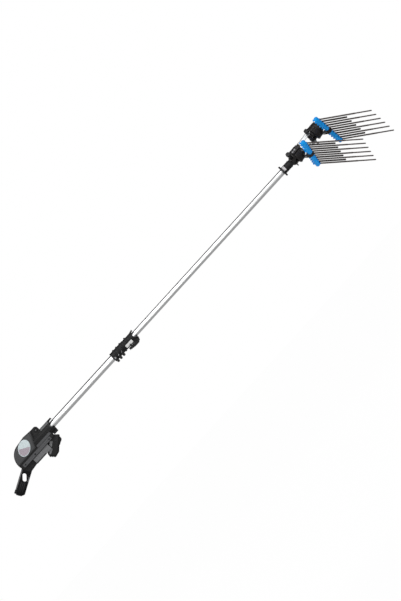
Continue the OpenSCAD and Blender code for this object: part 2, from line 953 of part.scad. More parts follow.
module lever_pin() {
    color("silver")
        rod_y(lock_front_x - lever_pin_back, -lever_pin_drop, -cheek_half_w, cheek_half_w, lever_pin_r);
}

// Cam lever under the collar
module lock_lever() {
    color("#161617")
        translate([lock_front_x - lever_pin_back, 0, -lever_pin_drop])
            difference() {
                union() {
                    rod_y(0, 0, -lever_half_w, lever_half_w, lever_hub_r);
                    plate([[0, lever_hub_r], [-lever_l, lever_t / 2], [-lever_l, -lever_t],
                        [-lever_l / 2, -lever_tip_drop],
                        [-lever_hub_r, -lever_tip_drop], [lever_hub_r - lever_clear, -lever_hub_r / 2]],
                        lever_half_w);
                }
                rod_y(0, 0, -lever_half_w - overrun, lever_half_w + overrun, lever_pin_r + run_gap);
                for (i = [0 : 2])
                    rod_y(-lever_l + notch_r * (1 + 2.6 * i), -lever_t - notch_r / 2 - notch_r * i / 2,
                        -lever_half_w - overrun, lever_half_w + overrun, notch_r);
            }
}

// Neck with its flange, socket and tilt tongue
module neck_socket() {
    color("#1f1f21")
        in_boom()
            difference() {
                union() {
                    rod_x(flange_x, flange_x + flange_t, flange_r);
                    rod_x(flange_x, flange_x + neck_l, neck_r);
                    rod_x(flange_x + neck_l - neck_rib_t, flange_x + neck_l, neck_r + neck_rib_t / 2);
                    block([flange_x + neck_l - neck_rib_t, -tongue_half_w, -eye_r],
                        [tilt_1_x, tongue_half_w, eye_r]);
                    rod_y(tilt_1_x, 0, -tongue_half_w, tongue_half_w, eye_r);
                }
                rod_x(flange_x - overrun, upper_front_x, upper_tube_r);
                rod_y(tilt_1_x, 0, -tongue_half_w - overrun, tongue_half_w + overrun, bolt_r);
                neck_screw_heads();
            }
}

// Screws that hold the neck on the tube
module neck_screws() {
    color("#a8aaad")
        in_boom()
            neck_screw_heads();
}
module neck_screw_heads() {
    for (turn = [0, 180])
        rotate([turn, 0, 0])
            translate([flange_x + neck_l / 2, 0, neck_r - neck_screw_head_t / 2])
                cylinder(h = neck_screw_head_t, r = neck_screw_head_r);
}

// Bolt with a wing at its far end, seat is where the wing bears
module tilt_bolt(seat) {
    rod_y(0, 0, -knob_end + knob_head_l / 2, seat + wing_l, bolt_r);
    rod_y(0, 0, seat + face_gap, seat + wing_l, wing_r);
    block([-wing_half_t, seat + wing_l / 2, -wing_span], [wing_half_t, seat + wing_l, wing_span]);
}

// Fluted clamping knob on the near end of the bolt
module tilt_knob(seat) {
    difference() {
        union() {
            rod_y(0, 0, -knob_end + knob_head_l / 2, -seat - face_gap, knob_hub_r);
            rod_y(0, 0, -knob_end, -knob_end + knob_head_l, knob_r);
        }
        for (i = [0 : flutes - 1])
            rotate([0, (i + 0.5) * 360 / flutes, 0])
                rod_y(knob_r + flute_r - flute_bite, 0, -knob_end - overrun,
                    -knob_end + knob_head_l + overrun, flute_r);
        rod_y(0, 0, -knob_end + knob_head_l / 2 - face_gap, -seat, bolt_r + run_gap);
    }
}

module tilt_bolt_1() {
    color("#8a8c90")
        in_boom()
            translate([tilt_1_x, 0, 0])
                tilt_bolt(fork_half_w);
}
module tilt_knob_1() {
    color("#141415")
        in_boom()
            translate([tilt_1_x, 0, 0])
                tilt_knob(fork_half_w);
}
module tilt_bolt_2() {
    color("#8a8c90")
        in_head(2)
            tilt_bolt(plate_in + plate_t);
}
module tilt_knob_2() {
    color("#141415")
        in_head(2)
            tilt_knob(plate_in + plate_t);
}

// Space for the yoke, the rocker, the crank and the motor
module drive_hollows() {
    in_pivot() {
        difference() {
            block([-pocket_back, -pocket_half_w, -pocket_half_h],
                [pocket_reach, pocket_half_w, pocket_half_h]);
            nose_solid();
        }
        block([-slot_back, -slot_half_w, -rocker_half_t - rocker_clear],
            [0, slot_half_w, rocker_half_t + rocker_clear]);
        rod_z(0, 0, -rocker_half_t - rocker_clear, rocker_half_t + rocker_clear,
            rocker_hub_r + rocker_clear * 2);
        rod_z(0, 0, -nose_half_h - overrun, nose_half_h + overrun, bearing_r);
        block([-chamber_back, -chamber_half_w, -rocker_half_t - rocker_clear],
            [-slot_back + overrun, chamber_half_w, crank_top]);
        rod_z(-crank_reach, 0, crank_top - overrun, crank_top + motor_l + shell_gap, motor_r + shell_gap);
    }
}
slot_back = pocket_back + chamber_wall;
chamber_back = crank_reach + crank_throw + crank_pin_r + prong_t + fork_gap;
crank_low = rocker_half_t + crank_gap;
crank_top = crank_low + crank_t + crank_gap;

// Nose that carries the output shaft
module nose_solid() {
    rod_z(0, 0, -nose_half_h, nose_half_h, nose_r);
    block([-pocket_back - overrun, -nose_r, -nose_half_h], [0, nose_r, nose_half_h]);
}

// Rear part of the head drum with its fork
module head_drum(linked) {
    difference() {
        union() {
            turned([[drum_x, 0], [drum_x, drum_r - rim_slope], [drum_x + rim_slope, drum_r + rim_proud],
                [drum_x + rim_slope + rim_t, drum_r + rim_proud], [drum_x + rim_slope + rim_t, drum_r],
                [parting_x, drum_r], [parting_x, 0]]);
            for (side = [-1, 1]) {
                inner = side > 0 ? tongue_half_w + face_gap : -fork_half_w;
                block([0, inner, -fork_r], [drum_x + rim_slope, inner + ear_t, fork_r]);
                rod_y(0, 0, inner, inner + ear_t, fork_r);
            }
            for (turn = fin_turns)
                rotate([turn, 0, 0])
                    block([drum_x + rim_slope, -fin_t / 2, drum_r - fin_proud],
                        [parting_x - fin_t, fin_t / 2, drum_r + fin_proud]);
            for (spot = boss_spots)
                rod_y(drum_x + spot, 0, -plate_in, plate_in, boss_r);
        }
        rod_y(0, 0, -fork_half_w - overrun, fork_half_w + overrun, bolt_r + run_gap);
        drive_hollows();
        if (linked)
            for (spot = boss_spots) {
                rod_y(drum_x + spot, 0, -plate_in - overrun, -plate_in + drum_screw_l / 2, plate_screw_r);
                rod_y(drum_x + spot, 0, plate_in - drum_screw_l / 2, plate_in + overrun, plate_screw_r);
            }
    }
}

// Domed front cover with the nose
module head_front_cover() {
    difference() {
        union() {
            turned(concat([[parting_x, 0]],
                [for (s = nose_shares) [parting_x + s[0] * (drum_l - parting_l), s[1] * drum_r]],
                    [[drum_front_x, 0]]));
        }
        drive_hollows();
        head_cover_screws();
    }
}

module head_cover_screws() {
    for (turn = drum_screw_turns)
        rotate([turn, 0, 0])
            translate([parting_x + nose_shares[3][0] * (drum_l - parting_l), 0,
                nose_shares[3][1] * drum_r - drum_screw_head_t / 2])
                cylinder(h = drum_screw_head_t, r = drum_screw_head_r);
}

module head_motor() {
    in_pivot() {
        rod_z(-crank_reach, 0, crank_top, crank_top + motor_l, motor_r);
        rod_z(-crank_reach, 0, crank_low, crank_top, motor_shaft_r);
    }
}

module head_bearings() {
    in_pivot()
        for (side = [-1, 1])
            difference() {
                rod_z(0, 0, side > 0 ? nose_half_h - bearing_w : -nose_half_h,
                    side > 0 ? nose_half_h : -nose_half_h + bearing_w, bearing_r);
                rod_z(0, 0, -nose_half_h - overrun, nose_half_h + overrun, shaft_r + run_gap);
            }
}

// Crank disc and its pin
module head_crank(index) {
    in_pivot()
        translate([-crank_reach, 0, 0])
            rotate([0, 0, crank_ratio * swing_of(index)])
                difference() {
                    union() {
                        rod_z(0, 0, crank_low, crank_low + crank_t, crank_r);
                        rod_z(-crank_throw, 0, -rocker_half_t, crank_low, crank_pin_r);
                    }
                    rod_z(0, 0, crank_low - overrun, crank_low + crank_t + overrun,
                        motor_shaft_r + run_gap);
                }
}

module head1_drum() {
    color("#19191b")
        in_head(1)
            head_drum(true);
}
module head2_drum() {
    color("#19191b")
        in_head(2)
            head_drum(false);
}
module head1_front_cover() {
    color("#232225")
        in_head(1)
            head_front_cover();
}
module head2_front_cover() {
    color("#232225")
        in_head(2)
            head_front_cover();
}
module head1_cover_screws() {
    color("#77797d")
        in_head(1)
            head_cover_screws();
}
module head2_cover_screws() {
    color("#77797d")
        in_head(2)
            head_cover_screws();
}
module head1_motor() {
    color("#8c8e92")
        in_head(1)
            head_motor();
}
module head2_motor() {
    color("#8c8e92")
        in_head(2)
            head_motor();
}
module head1_bearings() {
    color("#c2c4c8")
        in_head(1)
            head_bearings();
}
module head2_bearings() {
    color("#c2c4c8")
        in_head(2)
            head_bearings();
}
module head1_crank() {
    color("#9a9ca0")
        in_head(1)
            head_crank(1);
}
module head2_crank() {
    color("#9a9ca0")
        in_head(2)
            head_crank(2);
}

// Flat bars from the first head to the second tilt bolt
module link_plates() {
    color("#d5d7da")
        in_head(1)
            for (side = [-1, 1]) {
                inner = side > 0 ? plate_in : -plate_in - plate_t;
                difference() {
                    union() {
                        block([drum_x + boss_spots[0], inner, -plate_half_w],
                            [link_l, inner + plate_t, plate_half_w]);
                        rod_y(drum_x + boss_spots[0], 0, inner, inner + plate_t, plate_half_w);
                        rod_y(link_l, 0, inner, inner + plate_t, plate_half_w);
                    }
                    rod_y(link_l, 0, inner - overrun, inner + plate_t + overrun, bolt_r);
                    for (spot = boss_spots)
                        rod_y(drum_x + spot, 0, inner - overrun, inner + plate_t + overrun, plate_screw_r);
                }
            }
}

module link_screws() {
    color("#77797d")
        in_head(1)
            for (spot = boss_spots) {
                rod_y(drum_x + spot, 0, -plate_in - plate_t - plate_screw_head_t, -plate_in - plate_t,
                    plate_screw_head_r);
                rod_y(drum_x + spot, 0, -plate_in - plate_t, -plate_in + drum_screw_l / 2, plate_screw_r);
                rod_y(drum_x + spot, 0, plate_in + plate_t, plate_in + plate_t + plate_screw_head_t,
                    plate_screw_head_r);
                rod_y(drum_x + spot, 0, plate_in - drum_screw_l / 2, plate_in + plate_t, plate_screw_r);
            }
}

// Sleeves on the second tilt bolt
module link_spacers() {
    color("#8f9195")
        in_head(2) {
            spacer(-plate_in, -fork_half_w - face_gap);
            spacer(-tongue_half_w, tongue_half_w);
            spacer(fork_half_w + face_gap, plate_in);
        }
}
module spacer(y0, y1) {
    difference() {
        rod_y(0, 0, y0, y1, spacer_r);
        rod_y(0, 0, y0 - overrun, y1 + overrun, bolt_r);
    }
}

// Yoke that carries the comb bar on the output shaft
module comb_yoke() {
    difference() {
        union() {
            for (side = [-1, 1]) {
                low = side > 0 ? nose_half_h + face_gap : -nose_half_h - face_gap - arm_t;
                rod_z(0, 0, low, low + arm_t, arm_r);
                block([0, -arm_r, low], [pivot_reach, arm_r, low + arm_t]);
            }
            block([nose_r + face_gap * 2, -arm_r, -nose_half_h - face_gap - arm_t],
                [pivot_reach, arm_r, nose_half_h + face_gap + arm_t]);
            rod_y(pivot_reach, 0, -hub_half_w, hub_half_w, hub_r);
            rod_x(pivot_reach, pivot_reach + socket_l, socket_root_r);
        }
        rod_z(0, 0, -pocket_reach, pocket_reach, shaft_r);
        rod_x(pivot_reach + rod_seat, pivot_reach + socket_l + overrun, rod_r);
    }
}

module comb_shaft() {
    rod_z(0, 0, -nose_half_h - face_gap - arm_t, nose_half_h + face_gap + arm_t, shaft_r);
}

// Rocker whose fork takes the crank pin
module comb_rocker() {
    fork_half = crank_pin_r + fork_gap;
    fork_start = crank_reach - crank_pin_r * 0.4;
    difference() {
        union() {
            rod_z(0, 0, -rocker_half_t, rocker_half_t, rocker_hub_r);
            block([-fork_start, -rocker_half_w, -rocker_half_t], [0, rocker_half_w, rocker_half_t]);
            block([-crank_reach - crank_throw - crank_pin_r, -fork_half - prong_t, -rocker_half_t],
                [-fork_start + prong_t, fork_half + prong_t, rocker_half_t]);
        }
        block([-crank_reach - crank_throw * 2 - crank_pin_r, -fork_half, -rocker_half_t - overrun],
            [-fork_start, fork_half, rocker_half_t + overrun]);
        rod_z(0, 0, -rocker_half_t - overrun, rocker_half_t + overrun, shaft_r);
    }
}

// One blue half of the comb bar with its rod sockets
module comb_bar(side) {
    difference() {
        union() {
            rod_y(pivot_reach, 0, side > 0 ? hub_half_w : -bar_end, side > 0 ? bar_end : -hub_half_w,
                bar_r);
            translate([pivot_reach, side * bar_end, 0])
                rotate([-90 * side, 0, 0])
                    cylinder(h = bar_cap_l, r1 = bar_r, r2 = bar_r - bar_cap_l);
            for (k = [1 : rods_per_side])
                translate([pivot_reach, side * k * rod_pitch, 0]) {
                    translate([bar_r / 2, 0, 0])
                        rotate([0, 90, 0])
                            cylinder(h = socket_l - bar_r / 2, r1 = socket_root_r, r2 = socket_r);
                    rod_x(-heel_l, 0, heel_r);
                }
        }
        for (k = [1 : rods_per_side])
            translate([pivot_reach, side * k * rod_pitch, 0])
                rod_x(rod_seat, socket_l + overrun, rod_r);
    }
}

// Rods at every second place, from the given first place
module comb_rods(first, reach) {
    for (k = [first : 2 : -first])
        translate([pivot_reach, k * rod_pitch, 0])
            rod_x(rod_seat, reach, rod_r);
}

module comb1_yoke() {
    color("#1a1a1c")
        in_comb(1)
            comb_yoke();
}
module comb2_yoke() {
    color("#1a1a1c")
        in_comb(2)
            comb_yoke();
}
module comb1_shaft() {
    color("silver")
        in_comb(1)
            comb_shaft();
}
module comb2_shaft() {
    color("silver")
        in_comb(2)
            comb_shaft();
}
module comb1_rocker() {
    color("#9a9ca0")
        in_comb(1)
            comb_rocker();
}
module comb2_rocker() {
    color("#9a9ca0")
        in_comb(2)
            comb_rocker();
}
module comb1_bar_left() {
    color("#1787d8")
        in_comb(1)
            comb_bar(-1);
}
module comb1_bar_right() {
    color("#1787d8")
        in_comb(1)
            comb_bar(1);
}
module comb2_bar_left() {
    color("#1787d8")
        in_comb(2)
            comb_bar(-1);
}
module comb2_bar_right() {
    color("#1787d8")
        in_comb(2)
            comb_bar(1);
}
module comb1_rods_long() {
    color("#3a3432")
        in_comb(1)
            comb_rods(-rods_per_side, long_reach);
}
module comb1_rods_short() {
    color("#2c2827")
        in_comb(1)
            comb_rods(1 - rods_per_side, short_reach);
}
module comb2_rods_long() {
    color("#3a3432")
        in_comb(2)
            comb_rods(-rods_per_side, long_reach);
}
module comb2_rods_short() {
    color("#2c2827")
        in_comb(2)
            comb_rods(1 - rods_per_side, short_reach);
}

handle_shell_left();
handle_shell_right();
side_cover_left();
side_cover_right();
bottom_panel();
grip_pads();
trigger_pin();
trigger_switch();
controller_board();
power_inlet();
tail_cap();
button_bezel();
pinch_bolt();
shell_screws();
side_rail_left();
side_rail_right();
trigger();
mode_button();
lower_tube();
lock_clamp();
lock_screws();
lever_pin();
lock_lever();
guide_bush();
upper_tube();
neck_socket();
neck_screws();
tilt_bolt_1();
tilt_knob_1();
head1_drum();
head1_front_cover();
head1_cover_screws();
head1_motor();
head1_bearings();
head1_crank();
link_plates();
link_screws();
link_spacers();
tilt_bolt_2();
tilt_knob_2();
head2_drum();
head2_front_cover();
head2_cover_screws();
head2_motor();
head2_bearings();
head2_crank();
comb1_yoke();
comb1_shaft();
comb1_rocker();
comb1_bar_left();
comb1_bar_right();
comb1_rods_long();
comb1_rods_short();
comb2_yoke();
comb2_shaft();
comb2_rocker();
comb2_bar_left();
comb2_bar_right();
comb2_rods_long();
comb2_rods_short();
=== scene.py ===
"""Looks of an electric olive harvester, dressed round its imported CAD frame.

The frame is in metres: +X along the pole towards the combs, +Z the top of the
handle, -Y the side that the camera sees.
"""

from __future__ import annotations

import json
import logging
import math
from contextlib import contextmanager
from dataclasses import dataclass
from enum import Enum
from typing import Any, Callable, Iterator

import bpy
from mathutils import Matrix, Vector

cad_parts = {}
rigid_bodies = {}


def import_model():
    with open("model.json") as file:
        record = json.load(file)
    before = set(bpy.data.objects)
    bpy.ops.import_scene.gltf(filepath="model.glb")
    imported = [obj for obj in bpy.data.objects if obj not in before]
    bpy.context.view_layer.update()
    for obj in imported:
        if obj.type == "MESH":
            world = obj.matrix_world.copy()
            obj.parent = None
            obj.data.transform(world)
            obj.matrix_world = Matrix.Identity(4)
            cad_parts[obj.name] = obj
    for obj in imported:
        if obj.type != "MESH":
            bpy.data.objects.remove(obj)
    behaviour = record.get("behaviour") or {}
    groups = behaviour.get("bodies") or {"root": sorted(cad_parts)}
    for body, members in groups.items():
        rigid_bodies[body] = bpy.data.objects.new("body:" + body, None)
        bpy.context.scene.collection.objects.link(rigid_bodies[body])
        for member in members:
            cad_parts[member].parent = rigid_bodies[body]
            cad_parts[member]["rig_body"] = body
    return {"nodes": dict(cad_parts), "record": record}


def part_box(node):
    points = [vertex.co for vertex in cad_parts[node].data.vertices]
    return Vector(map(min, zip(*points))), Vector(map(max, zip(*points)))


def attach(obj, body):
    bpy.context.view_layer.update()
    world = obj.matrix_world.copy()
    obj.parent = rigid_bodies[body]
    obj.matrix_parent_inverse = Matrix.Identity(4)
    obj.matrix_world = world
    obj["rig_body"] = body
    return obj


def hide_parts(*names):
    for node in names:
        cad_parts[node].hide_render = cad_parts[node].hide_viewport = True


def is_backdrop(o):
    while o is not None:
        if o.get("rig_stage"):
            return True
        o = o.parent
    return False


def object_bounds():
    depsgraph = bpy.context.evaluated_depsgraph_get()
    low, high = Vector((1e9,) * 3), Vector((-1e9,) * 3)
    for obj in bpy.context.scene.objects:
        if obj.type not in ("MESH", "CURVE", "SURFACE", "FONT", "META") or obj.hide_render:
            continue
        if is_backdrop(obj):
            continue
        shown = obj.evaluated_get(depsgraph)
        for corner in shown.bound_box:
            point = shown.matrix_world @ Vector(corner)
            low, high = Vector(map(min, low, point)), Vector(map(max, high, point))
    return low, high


Triple = tuple[float, float, float]
Span = tuple[float, float]
Edges = tuple[tuple[str, float], ...]
Piece = bpy.types.Object

LOG = logging.getLogger("olive_harvester")
MM = 0.001
# The CAD body of the handle.
HANDLE = "handle"
# The tool's two sides with their signs along Y.
SIDES = (("left", -1.0), ("right", 1.0))
# Places of a comb's rods, in pitches from its middle.
LONG_RODS = range(-5, 6, 2)
SHORT_RODS = range(-4, 5, 2)
# Edges flatter than this, in degrees, are shaded smooth.
SMOOTH_ANGLE = 34.0
# Edges sharper than these, in degrees, are rounded: on new pieces, on copies of CAD nodes.
RIM_ANGLE = 40.0
CAD_EDGE_ANGLE = 30.0
# CAD faces flat to within these degrees, and points within this gap, are merged.
FLAT_ANGLE = 0.6
MERGE_GAP = 0.002 * MM
# Faces across a rounded edge, and sides of discs and bands.
EDGE_SEGMENTS = 3
ROUND_SIDES = 32
BAND_SIDES = 72


class Grain(Enum):
    """Surface effects that a finish can carry."""

    SMOOTH = "smooth"
    MOULDED = "moulded"
    DRAWN = "drawn"
    FIBRE = "fibre"


def rotated(degrees: float, axis: str) -> Matrix:
    """Gives a turn about an axis."""
    return Matrix.Rotation(math.radians(degrees), 4, axis)


def moved(x: float = 0.0, y: float = 0.0, z: float = 0.0) -> Matrix:
    """Gives a move along the axes."""
    return Matrix.Translation((x, y, z))


# Lays a piece's own Z along X.
ALONG_X = rotated(90.0, "Y")


def select_only(obj: Piece) -> None:
    """Selects one object and makes it the active one.

    Args:
        obj: The object.
    """
    bpy.ops.object.select_all(action="DESELECT")
    obj.select_set(True)
    bpy.context.view_layer.objects.active = obj


@contextmanager
def editing(obj: Piece) -> Iterator[Any]:
    """Opens one object in edit mode with everything selected.

    Args:
        obj: The mesh object to edit.

    Returns:
        The bpy.ops.mesh operators, for use inside the block.
    """
    select_only(obj)
    bpy.ops.object.mode_set(mode="EDIT")
    bpy.ops.mesh.select_all(action="SELECT")
    yield bpy.ops.mesh
    bpy.ops.object.mode_set(mode="OBJECT")


def apply_modifier(obj: Piece, kind: str, **settings: Any) -> None:
    """Adds a modifier, sets it and applies it.

    Args:
        obj: The mesh object.
        kind: Blender's name for the modifier.
        settings: Values for the modifier's own settings.
    """
    select_only(obj)
    modifier = obj.modifiers.new(kind.lower(), kind)
    for key, value in settings.items():
        setattr(modifier, key, value)
    bpy.ops.object.modifier_apply(modifier=modifier.name)


def round_edges(obj: Piece, width: float, angle: float = RIM_ANGLE, **settings: Any) -> None:
    """Rounds the sharp edges of a piece.

    Args:
        obj: The mesh object.
        width: Width of the rounding.
        angle: Edges sharper than this, in degrees, are rounded.
        settings: More values for the bevel.
    """
    apply_modifier(
        obj,
        "BEVEL",
        width=width,
        segments=EDGE_SEGMENTS,
        limit_method="ANGLE",
        angle_limit=math.radians(angle),
        **settings,
    )


def cut(obj: Piece, keep: Vector) -> None:
    """Cuts a piece through its origin and closes it.

    Args:
        obj: The mesh object.
        keep: Points to the side that stays.
    """
    with editing(obj) as mesh:
        mesh.bisect(plane_co=(0, 0, 0), plane_no=tuple(keep), use_fill=True, clear_inner=True)
        mesh.select_all(action="SELECT")
        mesh.normals_make_consistent(inside=False)


def smooth(obj: Piece) -> None:
    """Shades a piece smooth, apart from its sharp edges."""
    select_only(obj)
    bpy.ops.object.shade_smooth_by_angle(angle=math.radians(SMOOTH_ANGLE))


def settle(obj: Piece, place: Matrix) -> None:
    """Puts a piece at its place and writes that place into its mesh.

    Args:
        obj: The finished mesh object, still at its own origin.
        place: Where the piece goes in the frame.
    """
    select_only(obj)
    obj.matrix_world = place @ obj.matrix_world
    bpy.ops.object.transform_apply(location=True, rotation=True, scale=True)


def duplicate(obj: Piece, name: str) -> Piece:
    """Copies a piece with a mesh of its own.

    Args:
        obj: The piece to copy.
        name: The copy's name.

    Returns:
        The copy.
    """
    select_only(obj)
    bpy.ops.object.duplicate(linked=False)
    twin = bpy.context.view_layer.objects.active
    twin.name = name
    return twin


def join(*pieces: Piece) -> Piece:
    """Joins pieces into the first one.

    Args:
        pieces: The pieces, the one that keeps its name first.

    Returns:
        The joined piece.
    """
    select_only(pieces[0])
    for piece in pieces[1:]:
        piece.select_set(True)
    bpy.ops.object.join()
    return pieces[0]


def both_flanks(turns: Span) -> tuple[tuple[str, Span], ...]:
    """Mirrors a span of angles about the pole.

    Args:
        turns: Its start and end on the right side, in degrees.

    Returns:
        The name of each side with its span.
    """
    start, end = turns
    return (("left", (360.0 - end, 360.0 - start)), ("right", turns))


class EffectGroups:
    """Shader node groups that several finishes share."""

    SOCKETS = (
        ("INPUT", "NodeSocketFloat", "Scale"),
        ("INPUT", "NodeSocketColor", "Base"),
        ("INPUT", "NodeSocketColor", "Tint"),
        ("INPUT", "NodeSocketFloat", "Gloss Low"),
        ("INPUT", "NodeSocketFloat", "Gloss High"),
        ("OUTPUT", "NodeSocketColor", "Color"),
        ("OUTPUT", "NodeSocketFloat", "Roughness"),
        ("OUTPUT", "NodeSocketFloat", "Height"),
    )
    BROAD_DETAIL = 2.0
    BROAD_SCALE = 0.04

    def __init__(self) -> None:
        """Builds each group once."""
        self._made = {
            Grain.MOULDED: self._noise_group("moulded_grain", (1.0, 1.0, 1.0), 3.0),
            Grain.DRAWN: self._noise_group("drawn_streaks", (0.02, 1.0, 1.0), 2.0),
            Grain.FIBRE: self._noise_group("fibre_tint", (0.25, 0.25, 0.25), 4.0),
        }

    def of(self, grain: Grain) -> bpy.types.NodeTree | None:
        """Gives the node group of a surface effect, or None for a smooth one."""
        return self._made.get(grain)

    def _noise_group(self, name: str, stretch: Triple, detail: float) -> bpy.types.NodeTree:
        """Builds a group that turns noise into a height, a gloss and a colour.

        Args:
            name: The group's name.
            stretch: Scale of the noise along each axis of the piece.
            detail: Octaves of the fine noise.

        Returns:
            The node group.
        """
        group = bpy.data.node_groups.new(name, "ShaderNodeTree")
        for way, kind, label in self.SOCKETS:
            group.interface.new_socket(name=label, in_out=way, socket_type=kind)
        nodes = group.nodes
        inlet = nodes.new("NodeGroupInput")
        outlet = nodes.new("NodeGroupOutput")
        coords = nodes.new("ShaderNodeTexCoord")
        mapping = nodes.new("ShaderNodeMapping")
        mapping.inputs["Scale"].default_value = stretch
        fine = nodes.new("ShaderNodeTexNoise")
        fine.inputs["Detail"].default_value = detail
        broad = nodes.new("ShaderNodeTexNoise")
        broad.inputs["Detail"].default_value = self.BROAD_DETAIL
        slower = nodes.new("ShaderNodeMath")
        slower.operation = "MULTIPLY"
        slower.inputs[1].default_value = self.BROAD_SCALE
        blend = nodes.new("ShaderNodeMix")
        blend.data_type = "RGBA"
        gloss = nodes.new("ShaderNodeMapRange")
        for source, target in (
            (coords.outputs["Object"], mapping.inputs["Vector"]),
            (mapping.outputs["Vector"], fine.inputs["Vector"]),
            (inlet.outputs["Scale"], fine.inputs["Scale"]),
            (inlet.outputs["Scale"], slower.inputs[0]),
            (mapping.outputs["Vector"], broad.inputs["Vector"]),
            (slower.outputs[0], broad.inputs["Scale"]),
            (broad.outputs["Fac"], blend.inputs["Factor"]),
            (inlet.outputs["Base"], blend.inputs["A"]),
            (inlet.outputs["Tint"], blend.inputs["B"]),
            (fine.outputs["Fac"], gloss.inputs["Value"]),
            (inlet.outputs["Gloss Low"], gloss.inputs["To Min"]),
            (inlet.outputs["Gloss High"], gloss.inputs["To Max"]),
            (blend.outputs["Result"], outlet.inputs["Color"]),
            (gloss.outputs["Result"], outlet.inputs["Roughness"]),
            (fine.outputs["Fac"], outlet.inputs["Height"]),
        ):
            group.links.new(source, target)
        return group


@dataclass(frozen=True)
class Finish:
    """One finish of the harvester, with the record's slot that it dresses."""

    slot: str
    color: Triple
    roughness: float
    metallic: float = 0.0
    specular: float = 0.5
    grain: Grain = Grain.SMOOTH
    grain_scale: float = 1200.0
    grain_depth: float = 0.05
    grain_height: float = 0.2 * MM
    tint: float = 1.12
    gloss_spread: float = 0.06

    @classmethod
    def plastic(
        cls, slot: str, color: Triple, roughness: float, specular: float, depth: float
    ) -> Finish:
        """Describes a moulded plastic.

        Args:
            slot: The record's slot.
            color: Its colour.
            roughness: Its mean roughness.
            specular: How strongly it reflects.
            depth: How deep its moulded grain looks.

        Returns:
            The finish.
        """
        return cls(
            slot, color, roughness, specular=specular, grain=Grain.MOULDED, grain_depth=depth
        )

    def material(self, groups: EffectGroups, name: str) -> bpy.types.Material:
        """Builds the Blender material.

        Args:
            groups: The shared effects.
            name: The material's name.

        Returns:
            The material.
        """
        made = bpy.data.materials.new(name)
        made.use_nodes = True
        tree = made.node_tree
        shader = tree.nodes["Principled BSDF"]
        shader.inputs["Base Color"].default_value = (*self.color, 1.0)
        shader.inputs["Roughness"].default_value = self.roughness
        shader.inputs["Metallic"].default_value = self.metallic
        shader.inputs["Specular IOR Level"].default_value = self.specular
        group = groups.of(self.grain)
        if group is not None:
            self._wear(tree, shader, group)
        return made

    def _wear(
        self, tree: bpy.types.NodeTree, shader: bpy.types.Node, group: bpy.types.NodeTree
    ) -> None:
        """Places a shared effect in the material.

        Args:
            tree: The material's node tree.
            shader: Its Principled BSDF.
            group: The effect's node group.
        """
        effect = tree.nodes.new("ShaderNodeGroup")
        effect.node_tree = group
        effect.inputs["Scale"].default_value = self.grain_scale
        effect.inputs["Base"].default_value = (*self.color, 1.0)
        tinted = tuple(min(1.0, c * self.tint) for c in self.color)
        effect.inputs["Tint"].default_value = (*tinted, 1.0)
        effect.inputs["Gloss Low"].default_value = self.roughness - self.gloss_spread
        effect.inputs["Gloss High"].default_value = self.roughness + self.gloss_spread
        bump = tree.nodes.new("ShaderNodeBump")
        bump.inputs["Strength"].default_value = self.grain_depth
        bump.inputs["Distance"].default_value = self.grain_height
        tree.links.new(effect.outputs["Color"], shader.inputs["Base Color"])
        tree.links.new(effect.outputs["Roughness"], shader.inputs["Roughness"])
        tree.links.new(effect.outputs["Height"], bump.inputs["Height"])
        tree.links.new(bump.outputs["Normal"], shader.inputs["Normal"])


FINISHES = (
    Finish.plastic("shell_black", (0.0115, 0.0115, 0.0121), 0.46, 0.20, 0.22),
    Finish.plastic("cover_grey", (0.062, 0.063, 0.065), 0.42, 0.24, 0.15),
    Finish.plastic("rail_grey", (0.072, 0.073, 0.077), 0.44, 0.24, 0.15),
    Finish.plastic("panel_light", (0.155, 0.157, 0.162), 0.42, 0.24, 0.12),
    Finish("button_black", (0.008, 0.008, 0.009), 0.34, specular=0.26),
    Finish(
        "tube_alu", (0.90, 0.905, 0.91), 0.20, metallic=1.0,
        grain=Grain.DRAWN, grain_scale=500.0, grain_depth=0.02, tint=1.04,
    ),
    Finish(
        "plate_alu", (0.47, 0.48, 0.49), 0.34, metallic=1.0,
        grain=Grain.DRAWN, grain_scale=700.0, grain_depth=0.03,
    ),
    Finish("steel", (0.62, 0.63, 0.64), 0.28, metallic=1.0),
    Finish.plastic("bar_blue", (0.003, 0.325, 0.86), 0.38, 0.16, 0.05),
    Finish(
        "rod_carbon", (0.050, 0.040, 0.036), 0.34, specular=0.35, grain=Grain.FIBRE, tint=1.4
    ),
    Finish("bush_white", (0.78, 0.76, 0.70), 0.45),
    Finish("board_green", (0.02, 0.13, 0.06), 0.35),
    Finish("motor_can", (0.36, 0.37, 0.38), 0.34, metallic=1.0),
    Finish.plastic("drum_black", (0.0125, 0.0105, 0.0105), 0.40, 0.26, 0.2),
)


class Trim(Enum):
    """Finishes of single pieces, each with the slot that it stands under."""

    OVAL_PALE = Finish("panel_light", (0.64, 0.73, 0.75), 0.30)
    OVAL_DUSK = Finish("panel_light", (0.40, 0.34, 0.39), 0.30)
    PLATE_SILVER = Finish("plate_alu", (0.74, 0.72, 0.73), 0.38)
    SCREW_DARK = Finish("steel", (0.020, 0.020, 0.022), 0.40, metallic=0.5, specular=0.3)
    SCREW_GREY = Finish("steel", (0.27, 0.27, 0.28), 0.38, metallic=1.0)
    # Pale grey for painted highlights on the sleeve, the tail's edges and the clamp's mouth.
    STRIP_GREY = Finish.plastic("rail_grey", (0.135, 0.136, 0.140), 0.42, 0.30, 0.12)
    # A darker copy of the shell black: painted shade on the tail.
    TAIL_BLACK = Finish.plastic("shell_black", (0.0030, 0.0030, 0.0034), 0.50, 0.12, 0.2)
    WINDOW_WHITE = Finish("bush_white", (0.86, 0.86, 0.85), 0.40)
    ROD_SHEATH = Finish("rod_carbon", (0.028, 0.022, 0.020), 0.46, specular=0.28)


